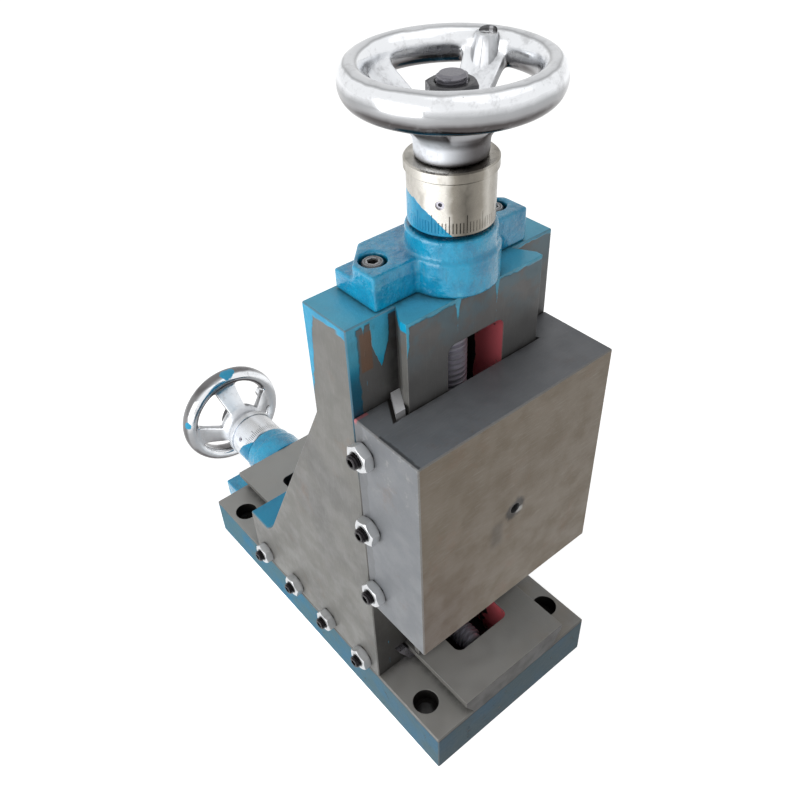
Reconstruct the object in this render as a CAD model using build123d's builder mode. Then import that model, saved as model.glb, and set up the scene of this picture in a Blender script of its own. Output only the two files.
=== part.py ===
"""Two-axis dovetail slide with lead screws, graduated dials and handwheels.

The origin is the centre of the base's bolt pattern, on the face that the base is bolted down by.
+Z is up, +Y runs along the base towards its handwheel, and +X runs across it.
Lengths are in millimetres.
"""

from build123d import *
from math import cos, radians, sin, tan
import os

# Base
slide_width = 160.0
base_length = 320.0
base_thickness = 40.0
base_bolt_inset_x = 14.0
base_bolt_inset_y = 30.0
base_bolt_bore_radius = 6.75
base_bolt_head_bore_radius = 10.0
base_bolt_head_bore_depth = 13.0
base_slot_width = 54.0
base_slot_end_wall = 35.0
base_slot_floor = 14.0
slot_corner_radius = 6.0

# Dovetails
dovetail_angle = 60.0
base_dovetail_width = 104.0
base_dovetail_height = 20.0
column_dovetail_width = 105.0
column_dovetail_height = 17.5
dovetail_land = 5.0
dovetail_head_gap = 1.0
dovetail_foot_gap = 3.0
way_clearance = 0.05

# Knee
knee_length = 175.0
knee_setback = 70.0
knee_slab_thickness = 48.0
column_thickness = 40.0
column_height = 333.0
gusset_thickness = 20.0
gusset_height = 204.0
gusset_length = 109.0
gusset_bend_height = 14.0
gusset_bend_length = 97.0
knee_pocket_corner_radius = 8.0
column_slot_width = 45.0
column_slot_depth = 39.5
column_slot_head_wall = 30.0
column_slot_foot_wall = 34.0

# Carriage
carriage_height = 175.0
carriage_thickness = 57.0
carriage_lift = 97.0
edge_chamfer = 0.8

# Gibs, their screws and lock nuts
gib_thickness = 6.0
gib_overhang = 4.0
gib_edge_gap = 0.4
gib_screw_radius = 5.0
gib_screw_stand = 11.0
gib_screw_shoulder_gap = 0.4
gib_screw_tip_radius = 3.0
gib_screw_tip_depth = 1.5
gib_screw_tip_clearance = 0.1
gib_nut_flats = 17.0
gib_nut_thickness = 7.0
base_gib_screw_count = 4
base_gib_screw_pitch = 46.7
carriage_gib_screw_count = 3
carriage_gib_screw_pitch = 65.0

# Lead screws
screw_radius = 10.0
base_screw_below_dovetail = 26.3
column_screw_behind_dovetail = 22.0
screw_end_gap = 10.0
screw_bore_clearance = 1.0
running_clearance = 0.05
collar_radius = 14.0
collar_thickness = 5.7
collar_back_gap = 0.3
journal_radius = 9.5
wheel_seat_radius = 9.0
stud_radius = 8.0
stud_overrun = 4.0

# Feed nuts
base_nut_width = 48.0
base_nut_length = 44.0
base_nut_floor_gap = 2.0
column_nut_width = 36.0
column_nut_length = 40.0
column_nut_back_wall = 6.0
column_nut_seat_depth = 3.0
column_nut_seat_margin = 3.0
column_nut_screw_radius = 4.0
column_nut_screw_grip = 12.0
column_nut_screw_recess = 6.0
base_nut_screw_spacing = 30.0
base_nut_screw_grip = 14.0
nut_edge_chamfer = 1.5

# Socket head screws
cap_screw_radius = 4.0
cap_screw_bore_clearance = 0.5
cap_head_radius = 6.5
cap_head_height = 8.0
cap_head_bore_radius = 8.0
cap_head_sink = 1.2
cap_socket_flats = 6.0
cap_socket_depth = 4.0
grub_socket_share = 0.5
grub_socket_depth = 4.0

# Bearing brackets
bracket_width = 116.0
bracket_depth = 36.0
bracket_front_overhang = 3.0
bracket_step_height = 13.0
bracket_ear_height = 22.0
bracket_corner_cut = 17.5
bracket_screw_spacing = 91.0
bracket_screw_setback = 13.2
bracket_boss_radius = 28.0
bracket_collar_radius = 26.0
bracket_collar_height = 34.0
bracket_edge_radius = 1.2
bracket_recess_radius = 16.0
bracket_screw_grip = 20.0
bush_radius = 12.5
thrust_washer_radius = 15.0
thrust_washer_thickness = 2.0
thrust_washer_bore_gap = 0.3

# Dials
dial_radius = 24.2
dial_flange_radius = 25.5
dial_flange_height = 6.0
dial_height = 36.0
dial_edge_chamfer = 0.8
dial_screw_radius = 2.5
dial_screw_sink = 1.0
dial_screw_angle = -147.0

# Handwheels
rim_radius = 49.4
rim_width = 14.2
rim_depth = 19.6
rim_above_hub_seat = 39.5
wheel_hub_radius = 20.0
wheel_hub_top_radius = 17.0
wheel_hub_length = 27.0
web_thickness = 5.5
web_below_hub_top = 10.0
web_rise = 27.2
window_inner_radius = 23.0
window_outer_radius = 41.5
window_corner_radius = 4.0
spoke_count = 4
spoke_root_width = 13.0
spoke_tip_width = 24.8
handle_hole_radius = 4.0
handle_hole_depth = 13.0
handle_spot_radius = 6.0
handle_spot_depth = 1.2
column_wheel_angle = 23.0
base_wheel_angle = -5.0
key_width = 5.0
key_height = 5.0
key_length = 19.0
key_end_gap = 4.0
wheel_washer_radius = 15.0
wheel_washer_thickness = 2.0
wheel_nut_flats = 24.0
wheel_nut_thickness = 8.0

# Places that follow from the sizes above
half_width = slide_width / 2
base_end = base_length / 2
base_dovetail_top = base_thickness + base_dovetail_height
knee_front = knee_setback - base_end
knee_back = knee_front + knee_length
knee_middle = (knee_front + knee_back) / 2
knee_ceiling = base_dovetail_top + dovetail_head_gap
slab_top = base_thickness + knee_slab_thickness
column_back = knee_front + column_thickness
column_top = base_thickness + column_height
column_dovetail_face = knee_front - column_dovetail_height
column_dovetail_foot = knee_ceiling + dovetail_foot_gap
column_slot_top = column_top - column_slot_head_wall
column_slot_foot = knee_ceiling + column_slot_foot_wall
carriage_front = knee_front - carriage_thickness
carriage_floor = base_thickness + carriage_lift
carriage_top = carriage_floor + carriage_height
carriage_middle = (carriage_floor + carriage_top) / 2
carriage_pocket = column_dovetail_face - dovetail_head_gap
base_screw_z = base_dovetail_top - base_screw_below_dovetail
column_screw_y = column_dovetail_face + column_screw_behind_dovetail
gib_width = gib_thickness / sin(radians(dovetail_angle))
bracket_screw_places = [
    (-bracket_screw_spacing / 2, bracket_screw_setback),
    (bracket_screw_spacing / 2, bracket_screw_setback),
]
bracket_recess_depth = collar_back_gap + collar_thickness + thrust_washer_thickness
dial_seat = bracket_collar_height + thrust_washer_thickness
wheel_seat = dial_seat + dial_height
hub_top = wheel_seat + wheel_hub_length
rim_middle = wheel_seat + rim_above_hub_seat
wheel_nut_seat = hub_top + wheel_washer_thickness
stud_end = wheel_nut_seat + wheel_nut_thickness + stud_overrun

# Each dovetail plane lies across its slide, with Y standing up out of the ways.
base_dovetail_plane = Plane(origin=(0, base_end, base_thickness), x_dir=(1, 0, 0), z_dir=(0, -1, 0))
column_dovetail_plane = Plane(origin=(0, knee_front, column_top), x_dir=(1, 0, 0), z_dir=(0, 0, -1))

# Each drive plane is the face under a bearing bracket, with its origin on the lead screw's axis,
# Z outwards along the screw and Y away from the dovetail.
base_drive = Plane(origin=(0, base_end, base_screw_z), x_dir=(1, 0, 0), z_dir=(0, 1, 0))
column_drive = Plane(origin=(0, column_screw_y, column_top), x_dir=(1, 0, 0), z_dir=(0, 0, 1))

pieces = []


def finish(builder, label):
    """Name a finished piece and put it with the others."""
    builder.part.label = label
    pieces.append(builder)


def undercut(height):
    """Distance that a dovetail's flank leans in over this height."""
    return height / tan(radians(dovetail_angle))


def foot_of(width, height):
    """Half of a dovetail's width at its foot, below the flank and the land."""
    return width / 2 - undercut(height - dovetail_land)


def tongue_outline(width, height):
    """Male dovetail standing on Y = 0, sunk a little into its body, with a land on each corner."""
    foot = foot_of(width, height)
    Polyline(
        (-foot, -edge_chamfer),
        (-foot, 0),
        (-width / 2, height - dovetail_land),
        (-width / 2, height),
        (width / 2, height),
        (width / 2, height - dovetail_land),
        (foot, 0),
        (foot, -edge_chamfer),
        close=True,
    )


def groove_outline(width, height):
    """Female dovetail around that tongue, with room for a gib on its -X flank."""
    ceiling = height + dovetail_head_gap
    foot = foot_of(width, height) + way_clearance
    Polyline(
        (-foot - gib_width, 0),
        (-foot - gib_width - undercut(ceiling), ceiling),
        (foot + undercut(ceiling), ceiling),
        (foot, 0),
        close=True,
    )


def gib_outline(width, height):
    """Parallel strip between the -X flanks of the tongue and the groove."""
    foot = foot_of(width, height) + way_clearance
    low = gib_edge_gap
    high = height - gib_edge_gap
    Polyline(
        (-foot - undercut(low), low),
        (-foot - undercut(high), high),
        (-foot - undercut(high) - gib_width, high),
        (-foot - undercut(low) - gib_width, low),
        close=True,
    )


def gib_back(width, height):
    """Distance from the middle of a slide to the outer face of its gib, halfway up the flank."""
    return foot_of(width, height) + undercut(height / 2) + way_clearance + gib_width


def row(count, pitch, middle):
    """Places of evenly spaced screws along a slide."""
    return [middle + (index - (count - 1) / 2) * pitch for index in range(count)]


# Base: plate, dovetail, screw channel, counterbored bolt holes and the bracket's tapped holes
base_bolt_spacing_x = slide_width - 2 * base_bolt_inset_x
base_bolt_spacing_y = base_length - 2 * base_bolt_inset_y

with BuildPart() as base_slide:
    with BuildSketch(Plane.XY):
        Rectangle(slide_width, base_length)
    extrude(amount=base_thickness)
    chamfer(base_slide.edges(), edge_chamfer)
    with BuildSketch(base_dovetail_plane):
        with BuildLine():
            tongue_outline(base_dovetail_width, base_dovetail_height)
        make_face()
    extrude(amount=base_length)
    with BuildSketch(Plane.XY.offset(base_slot_floor)):
        RectangleRounded(base_slot_width, base_length - 2 * base_slot_end_wall, slot_corner_radius)
    extrude(amount=base_dovetail_top, mode=Mode.SUBTRACT)
    with Locations(Plane.XY.offset(base_thickness)):
        with GridLocations(base_bolt_spacing_x, base_bolt_spacing_y, 2, 2):
            CounterBoreHole(
                base_bolt_bore_radius, base_bolt_head_bore_radius, base_bolt_head_bore_depth
            )
    with Locations(base_drive):
        Hole(screw_radius + screw_bore_clearance, depth=base_slot_end_wall)
        with Locations(*bracket_screw_places):
            Hole(cap_screw_radius, depth=bracket_screw_grip)
finish(base_slide, "base_slide")


# Knee: one casting with the slab, the column, two side gussets and the column's dovetail
base_nut_screw_places = [
    (-base_nut_screw_spacing / 2, knee_middle),
    (base_nut_screw_spacing / 2, knee_middle),
]
base_gib_face = gib_back(base_dovetail_width, base_dovetail_height) - gib_width
base_gib_screw_z = base_thickness + base_dovetail_height / 2
base_gib_screw_places = [
    (y, base_gib_screw_z) for y in row(base_gib_screw_count, base_gib_screw_pitch, knee_middle)
]

with BuildPart() as knee:
    with BuildSketch(Plane.YZ.offset(-half_width)):
        with BuildLine():
            gusset_edge = Line(
                (column_back, slab_top + gusset_height),
                (column_back + gusset_bend_length, slab_top + gusset_bend_height),
            )
            TangentArc(
                gusset_edge @ 1, (column_back + gusset_length, slab_top), tangent=gusset_edge % 1
            )
            Polyline(
                (column_back + gusset_length, slab_top),
                (knee_back, slab_top),
                (knee_back, base_thickness),
                (knee_front, base_thickness),
                (knee_front, column_top),
                (column_back, column_top),
                (column_back, slab_top + gusset_height),
            )
        make_face()
    extrude(amount=slide_width)
    chamfer(knee.edges().filter_by(GeomType.LINE), edge_chamfer)
    with BuildSketch(Plane.XY.offset(slab_top)):
        with Locations((0, column_back)):
            RectangleRounded(
                slide_width - 2 * gusset_thickness,
                knee_length,
                knee_pocket_corner_radius,
                align=(Align.CENTER, Align.MIN),
            )
    extrude(amount=gusset_height, mode=Mode.SUBTRACT)
    with BuildSketch(column_dovetail_plane):
        with BuildLine():
            tongue_outline(column_dovetail_width, column_dovetail_height)
        make_face()
    extrude(amount=column_top - column_dovetail_foot)
    with BuildSketch(base_dovetail_plane):
        with BuildLine():
            groove_outline(base_dovetail_width, base_dovetail_height)
        make_face()
    extrude(amount=base_length, mode=Mode.SUBTRACT)
    with BuildSketch(Plane.XZ.offset(-column_dovetail_face)):
        with Locations((0, (column_slot_top + column_slot_foot) / 2)):
            RectangleRounded(
                column_slot_width, column_slot_top - column_slot_foot, slot_corner_radius
            )
    extrude(amount=-column_slot_depth, mode=Mode.SUBTRACT)
    with Locations(column_drive):
        Hole(screw_radius + screw_bore_clearance, depth=column_slot_head_wall)
        with Locations(*bracket_screw_places):
            Hole(cap_screw_radius, depth=bracket_screw_grip)
    with Locations(Plane.XY.offset(slab_top)):
        with Locations(*base_nut_screw_places):
            CounterBoreHole(
                cap_screw_radius + cap_screw_bore_clearance,
                cap_head_bore_radius,
                cap_head_height + cap_head_sink,
                depth=slab_top - knee_ceiling,
            )
    with BuildSketch(Plane.YZ.offset(-half_width)):
        with Locations(*base_gib_screw_places):
            Circle(gib_screw_radius)
    extrude(amount=half_width - base_gib_face, mode=Mode.SUBTRACT)
finish(knee, "knee")


# Carriage: the block that rides on the column's dovetail and carries the load
column_gib_face = gib_back(column_dovetail_width, column_dovetail_height) - gib_width
carriage_gib_screw_y = knee_front - column_dovetail_height / 2
carriage_gib_screw_places = [
    (carriage_gib_screw_y, z)
    for z in row(carriage_gib_screw_count, carriage_gib_screw_pitch, carriage_middle)
]
column_nut_plane = Plane(
    origin=(0, carriage_pocket, carriage_middle), x_dir=(1, 0, 0), z_dir=(0, -1, 0)
)

with BuildPart() as carriage:
    with BuildSketch(Plane.XY.offset(carriage_floor)):
        with Locations((0, knee_front)):
            Rectangle(slide_width, carriage_thickness, align=(Align.CENTER, Align.MAX))
    extrude(amount=carriage_height)
    chamfer(carriage.edges(), edge_chamfer)
    with BuildSketch(column_dovetail_plane):
        with BuildLine():
            groove_outline(column_dovetail_width, column_dovetail_height)
        make_face()
    extrude(amount=column_height, mode=Mode.SUBTRACT)
    with BuildSketch(column_nut_plane):
        Rectangle(
            column_nut_width + 2 * column_nut_seat_margin,
            column_nut_length + 2 * column_nut_seat_margin,
        )
    extrude(amount=column_nut_seat_depth, mode=Mode.SUBTRACT)
    with BuildSketch(column_nut_plane):
        Circle(column_nut_screw_radius)
    extrude(amount=carriage_thickness, mode=Mode.SUBTRACT)
    with BuildSketch(Plane.YZ.offset(-half_width)):
        with Locations(*carriage_gib_screw_places):
            Circle(gib_screw_radius)
    extrude(amount=half_width - column_gib_face, mode=Mode.SUBTRACT)
finish(carriage, "carriage")


def make_gib(label, start, length, width, height, screw_places):
    """Gib strip from the start plane along its slide, with a dimple under each screw."""
    dimple_plane = Plane.YZ.offset(gib_screw_tip_depth - gib_back(width, height))
    with BuildPart() as gib:
        with BuildSketch(start):
            with BuildLine():
                gib_outline(width, height)
            make_face()
        extrude(amount=length)
        with BuildSketch(dimple_plane):
            with Locations(*screw_places):
                Circle(gib_screw_tip_radius + gib_screw_tip_clearance)
        extrude(amount=-half_width, mode=Mode.SUBTRACT)
    finish(gib, label)


def make_gib_screws(label, width, height, screw_places):
    """Headless screws through the -X wall, each with a dog point in the gib's dimple."""
    outer_end = -half_width - gib_screw_stand
    shoulder = -gib_back(width, height) - gib_screw_shoulder_gap - undercut(gib_screw_radius)
    tip = gib_screw_tip_depth - gib_back(width, height)
    with BuildPart() as screws:
        with BuildSketch(Plane.YZ.offset(outer_end)):
            with Locations(*screw_places):
                Circle(gib_screw_radius)
        extrude(amount=shoulder - outer_end)
        with BuildSketch(Plane.YZ.offset(shoulder)):
            with Locations(*screw_places):
                Circle(gib_screw_tip_radius)
        extrude(amount=tip - shoulder)
        with BuildSketch(Plane.YZ.offset(outer_end)):
            with Locations(*screw_places):
                RegularPolygon(gib_screw_radius * grub_socket_share, 6)
        extrude(amount=grub_socket_depth, mode=Mode.SUBTRACT)
    finish(screws, label)


def make_gib_nuts(label, screw_places):
    """Hexagon lock nuts against the -X side, one on each gib screw."""
    with BuildPart() as nuts:
        with BuildSketch(Plane.YZ.offset(-half_width - gib_nut_thickness)):
            with Locations(*screw_places):
                RegularPolygon(gib_nut_flats / 2, 6, major_radius=False)
                Circle(gib_screw_radius, mode=Mode.SUBTRACT)
        extrude(amount=gib_nut_thickness)
    finish(nuts, label)


make_gib(
    "base_gib",
    base_dovetail_plane.offset(base_end - knee_back),
    knee_length + gib_overhang,
    base_dovetail_width,
    base_dovetail_height,
    base_gib_screw_places,
)
make_gib_screws(
    "base_gib_screws", base_dovetail_width, base_dovetail_height, base_gib_screw_places
)
make_gib_nuts("base_gib_lock_nuts", base_gib_screw_places)

make_gib(
    "carriage_gib",
    column_dovetail_plane.offset(column_top - carriage_top - gib_overhang),
    carriage_height + gib_overhang,
    column_dovetail_width,
    column_dovetail_height,
    carriage_gib_screw_places,
)
make_gib_screws(
    "carriage_gib_screws", column_dovetail_width, column_dovetail_height, carriage_gib_screw_places
)
make_gib_nuts("carriage_gib_lock_nuts", carriage_gib_screw_places)


def make_cap_screws(label, seat, places, reach):
    """Socket head screws whose heads sit on the seat plane."""
    with BuildPart() as screws:
        with BuildSketch(seat):
            with Locations(*places):
                Circle(cap_head_radius)
        extrude(amount=cap_head_height)
        with BuildSketch(seat.offset(cap_head_height)):
            with Locations(*places):
                RegularPolygon(cap_socket_flats / 2, 6, major_radius=False)
        extrude(amount=-cap_socket_depth, mode=Mode.SUBTRACT)
        with BuildSketch(seat):
            with Locations(*places):
                Circle(cap_screw_radius)
        extrude(amount=-reach)
    finish(screws, label)


# Base feed nut, hung from the knee into the base's screw channel
base_nut_floor = base_slot_floor + base_nut_floor_gap

with BuildPart() as base_feed_nut:
    with BuildSketch(Plane.XY.offset(base_nut_floor)):
        with Locations((0, knee_middle)):
            Rectangle(base_nut_width, base_nut_length)
    extrude(amount=knee_ceiling - base_nut_floor)
    chamfer(base_feed_nut.edges().filter_by(Axis.Z), nut_edge_chamfer)
    with BuildSketch(base_drive):
        Circle(screw_radius + running_clearance)
    extrude(amount=-base_length, mode=Mode.SUBTRACT)
    with Locations(Plane.XY.offset(knee_ceiling)):
        with Locations(*base_nut_screw_places):
            Hole(cap_screw_radius, depth=base_nut_screw_grip)
finish(base_feed_nut, "base_feed_nut")

base_nut_screw_seat = slab_top - cap_head_height - cap_head_sink
make_cap_screws(
    "base_feed_nut_screws",
    Plane.XY.offset(base_nut_screw_seat),
    base_nut_screw_places,
    base_nut_screw_seat - knee_ceiling + base_nut_screw_grip,
)


# Column feed nut, seated in the back of the carriage and reaching into the column's slot
column_nut_reach = screw_radius + column_nut_back_wall + column_screw_y - carriage_pocket

with BuildPart() as column_feed_nut:
    with BuildSketch(column_nut_plane):
        Rectangle(
            column_nut_width + 2 * column_nut_seat_margin,
            column_nut_length + 2 * column_nut_seat_margin,
        )
    extrude(amount=column_nut_seat_depth)
    with BuildSketch(column_nut_plane):
        Rectangle(column_nut_width, column_nut_length)
    extrude(amount=-column_nut_reach)
    with BuildSketch(column_drive):
        Circle(screw_radius + running_clearance)
    extrude(amount=-column_height, mode=Mode.SUBTRACT)
    with Locations(column_nut_plane.offset(column_nut_seat_depth)):
        Hole(column_nut_screw_radius, depth=column_nut_screw_grip)
finish(column_feed_nut, "column_feed_nut")


# Headless screw that draws the column feed nut into its seat from the carriage's front
nut_screw_front = Plane(
    origin=(0, carriage_front + column_nut_screw_recess, carriage_middle),
    x_dir=(1, 0, 0),
    z_dir=(0, -1, 0),
)
nut_screw_back = carriage_pocket - column_nut_seat_depth + column_nut_screw_grip

with BuildPart() as column_feed_nut_screw:
    with BuildSketch(nut_screw_front):
        Circle(column_nut_screw_radius)
        RegularPolygon(column_nut_screw_radius * grub_socket_share, 6, mode=Mode.SUBTRACT)
    extrude(amount=-grub_socket_depth)
    with BuildSketch(nut_screw_front.offset(-grub_socket_depth)):
        Circle(column_nut_screw_radius)
    extrude(amount=nut_screw_front.origin.Y + grub_socket_depth - nut_screw_back)
finish(column_feed_nut_screw, "column_feed_nut_screw")


def profile_plane(drive):
    """Half-section plane of a turned piece: X outwards from the screw's axis, Y along it."""
    return Plane(origin=drive.origin, x_dir=drive.x_dir, z_dir=-drive.y_dir)


def drive_axis(drive):
    """Axis of a drive's lead screw."""
    return Axis(drive.origin, drive.z_dir)


def make_ring(label, drive, start, height, outer_radius, inner_radius):
    """Plain ring around a lead screw."""
    with BuildPart() as ring:
        with BuildSketch(drive.offset(start)):
            Circle(outer_radius)
            Circle(inner_radius, mode=Mode.SUBTRACT)
        extrude(amount=height)
    finish(ring, label)


def make_bracket(label, drive):
    """Bearing bracket: foot plate, ears with their back corners cut, and a collared boss."""
    with BuildPart() as bracket:
        with BuildSketch(drive):
            with Locations((0, -bracket_front_overhang)):
                Rectangle(bracket_width, bracket_depth, align=(Align.CENTER, Align.MIN))
        extrude(amount=bracket_step_height)
        with BuildSketch(drive) as ears:
            with Locations((0, -bracket_front_overhang)):
                Rectangle(bracket_width, bracket_depth, align=(Align.CENTER, Align.MIN))
            chamfer(ears.vertices().group_by(Axis.Y)[-1], bracket_corner_cut)
            Circle(bracket_boss_radius)
        extrude(amount=bracket_ear_height)
        with BuildSketch(drive):
            Circle(bracket_collar_radius)
        extrude(amount=bracket_collar_height)
        boss_face = bracket.faces().sort_by(drive_axis(drive))[-1]
        fillet(boss_face.edges(), bracket_edge_radius)
        with BuildSketch(drive):
            Circle(bracket_recess_radius)
        extrude(amount=bracket_recess_depth, mode=Mode.SUBTRACT)
        with Locations(drive.offset(bracket_collar_height)):
            Hole(bush_radius, depth=bracket_collar_height)
        with Locations(drive.offset(bracket_ear_height)):
            with Locations(*bracket_screw_places):
                CounterBoreHole(
                    cap_screw_radius + cap_screw_bore_clearance,
                    cap_head_bore_radius,
                    cap_head_height + cap_head_sink,
                    depth=bracket_ear_height,
                )
    finish(bracket, label)


def make_lead_screw(label, drive, reach):
    """Lead screw with its thrust collar, journal, handwheel seat, keyway and stud end."""
    with BuildPart() as screw:
        with BuildSketch(profile_plane(drive)):
            with BuildLine():
                Polyline(
                    (0, -reach),
                    (screw_radius - edge_chamfer, -reach),
                    (screw_radius, edge_chamfer - reach),
                    (screw_radius, collar_back_gap),
                    (collar_radius, collar_back_gap),
                    (collar_radius, collar_back_gap + collar_thickness),
                    (journal_radius, collar_back_gap + collar_thickness),
                    (journal_radius, wheel_seat),
                    (wheel_seat_radius, wheel_seat),
                    (wheel_seat_radius, hub_top),
                    (stud_radius, hub_top),
                    (stud_radius, stud_end - edge_chamfer),
                    (stud_radius - edge_chamfer, stud_end),
                    (0, stud_end),
                    close=True,
                )
            make_face()
        revolve(axis=drive_axis(drive))
        with BuildSketch(drive.offset(wheel_seat + key_end_gap)):
            with Locations((wheel_seat_radius, 0)):
                Rectangle(key_height, key_width)
        extrude(amount=key_length, mode=Mode.SUBTRACT)
    finish(screw, label)


def dial_screw_plane(drive):
    """Plane across the dial's set screw at the dial's middle, facing outwards from the axis."""
    angle = radians(dial_screw_angle)
    outwards = drive.x_dir * cos(angle) + drive.y_dir * sin(angle)
    middle = drive.origin + drive.z_dir * (dial_seat + dial_height / 2)
    return Plane(origin=middle, x_dir=drive.z_dir, z_dir=outwards)


def make_dial(label, drive):
    """Graduated collar with a flange at the handwheel, drilled for its set screw."""
    with BuildPart() as dial:
        with BuildSketch(profile_plane(drive)):
            with BuildLine():
                Polyline(
                    (journal_radius, dial_seat),
                    (dial_radius - dial_edge_chamfer, dial_seat),
                    (dial_radius, dial_seat + dial_edge_chamfer),
                    (dial_radius, wheel_seat - dial_flange_height),
                    (dial_flange_radius, wheel_seat - dial_flange_height),
                    (dial_flange_radius, wheel_seat - dial_edge_chamfer),
                    (dial_flange_radius - dial_edge_chamfer, wheel_seat),
                    (journal_radius, wheel_seat),
                    close=True,
                )
            make_face()
        revolve(axis=drive_axis(drive))
        with BuildSketch(dial_screw_plane(drive).offset(dial_radius)):
            Circle(dial_screw_radius)
        extrude(amount=journal_radius - dial_radius, mode=Mode.SUBTRACT)
    finish(dial, label)


def make_dial_screw(label, drive):
    """Headless set screw that locks the dial to the journal."""
    outer = dial_radius - dial_screw_sink
    with BuildPart() as screw:
        with BuildSketch(dial_screw_plane(drive).offset(outer)):
            Circle(dial_screw_radius)
        extrude(amount=journal_radius - outer)
        with BuildSketch(dial_screw_plane(drive).offset(outer)):
            RegularPolygon(dial_screw_radius * grub_socket_share, 6)
        extrude(amount=-dial_screw_radius, mode=Mode.SUBTRACT)
    finish(screw, label)


def make_handwheel(label, drive, first_spoke_angle):
    """Dished handwheel: hub, steeply coned web with four windows, and an oval rim."""
    web_top = hub_top - web_below_hub_top
    with BuildPart() as wheel:
        with BuildSketch(profile_plane(drive)):
            with BuildLine():
                Polyline(
                    (wheel_seat_radius, wheel_seat),
                    (wheel_hub_radius, wheel_seat),
                    (wheel_hub_radius, web_top - web_thickness),
                    (rim_radius, web_top - web_thickness + web_rise),
                    (rim_radius, web_top + web_rise),
                    (wheel_hub_top_radius, web_top),
                    (wheel_hub_top_radius, hub_top),
                    (wheel_seat_radius, hub_top),
                    close=True,
                )
            make_face()
            with Locations((rim_radius, rim_middle)):
                Ellipse(rim_width / 2, rim_depth / 2)
        revolve(axis=drive_axis(drive))
        with BuildSketch(drive.offset(rim_middle + rim_depth / 2)) as windows:
            Circle(window_outer_radius)
            Circle(window_inner_radius, mode=Mode.SUBTRACT)
            with PolarLocations(0, spoke_count, start_angle=first_spoke_angle):
                Polygon(
                    (0, spoke_root_width / 2),
                    (0, -spoke_root_width / 2),
                    (rim_radius, -spoke_tip_width / 2),
                    (rim_radius, spoke_tip_width / 2),
                    align=None,
                    mode=Mode.SUBTRACT,
                )
            fillet(windows.vertices(), window_corner_radius)
        extrude(amount=wheel_seat - rim_middle, mode=Mode.SUBTRACT)
        with BuildSketch(drive.offset(wheel_seat)):
            with Locations((wheel_seat_radius, 0)):
                Rectangle(key_height, key_width)
        extrude(amount=wheel_hub_length, mode=Mode.SUBTRACT)
        with Locations(drive.offset(rim_middle + rim_depth / 2)):
            with PolarLocations(rim_radius, 1, start_angle=first_spoke_angle):
                CounterBoreHole(
                    handle_hole_radius,
                    handle_spot_radius,
                    handle_spot_depth,
                    depth=handle_hole_depth,
                )
    finish(wheel, label)


def make_key(label, drive):
    """Square key between the screw and the handwheel's hub."""
    with BuildPart() as key:
        with BuildSketch(drive.offset(wheel_seat + key_end_gap)):
            with Locations((wheel_seat_radius, 0)):
                Rectangle(key_height, key_width)
        extrude(amount=key_length)
    finish(key, label)


def make_wheel_nut(label, drive):
    """Hexagon nut that holds the handwheel on the stud end."""
    with BuildPart() as nut:
        with BuildSketch(drive.offset(wheel_nut_seat)):
            RegularPolygon(wheel_nut_flats / 2, 6, major_radius=False)
            Circle(stud_radius, mode=Mode.SUBTRACT)
        extrude(amount=wheel_nut_thickness)
    finish(nut, label)


def make_drive(name, drive, reach, wheel_angle):
    """Every piece of one lead screw drive, from the bracket out to the handwheel's nut."""
    make_bracket(f"{name}_bearing_bracket", drive)
    make_cap_screws(
        f"{name}_bracket_screws",
        drive.offset(bracket_ear_height - cap_head_height - cap_head_sink),
        bracket_screw_places,
        bracket_ear_height - cap_head_height - cap_head_sink + bracket_screw_grip,
    )
    make_ring(
        f"{name}_bearing_bush",
        drive,
        bracket_recess_depth,
        bracket_collar_height - bracket_recess_depth,
        bush_radius,
        journal_radius + running_clearance,
    )
    make_ring(
        f"{name}_inner_thrust_washer",
        drive,
        bracket_recess_depth - thrust_washer_thickness,
        thrust_washer_thickness,
        thrust_washer_radius,
        journal_radius + thrust_washer_bore_gap,
    )
    make_ring(
        f"{name}_outer_thrust_washer",
        drive,
        bracket_collar_height,
        thrust_washer_thickness,
        thrust_washer_radius,
        journal_radius + thrust_washer_bore_gap,
    )
    make_lead_screw(f"{name}_lead_screw", drive, reach)
    make_dial(f"{name}_dial", drive)
    make_dial_screw(f"{name}_dial_set_screw", drive)
    make_handwheel(f"{name}_handwheel", drive, wheel_angle)
    make_key(f"{name}_handwheel_key", drive)
    make_ring(
        f"{name}_handwheel_washer",
        drive,
        hub_top,
        wheel_washer_thickness,
        wheel_washer_radius,
        stud_radius,
    )
    make_wheel_nut(f"{name}_handwheel_nut", drive)


make_drive("base", base_drive, base_length - base_slot_end_wall - screw_end_gap, base_wheel_angle)
make_drive(
    "column", column_drive, column_top - column_slot_foot - screw_end_gap, column_wheel_angle
)

os.makedirs("parts", exist_ok=True)
for piece in pieces:
    export_step(piece.part, f"parts/{piece.part.label}.step")
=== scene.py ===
"""Dovetail slide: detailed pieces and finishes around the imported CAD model.

Lengths are in metres, in the CAD model's frame: +Z is up and +Y runs along the base towards its handwheel.
A drive's own frame has its origin on the lead screw's axis, on the face that carries the bearing bracket,
and Z outwards along the screw. A finish is laid out in millimetres, in the frame of the piece that wears it.
"""

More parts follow.
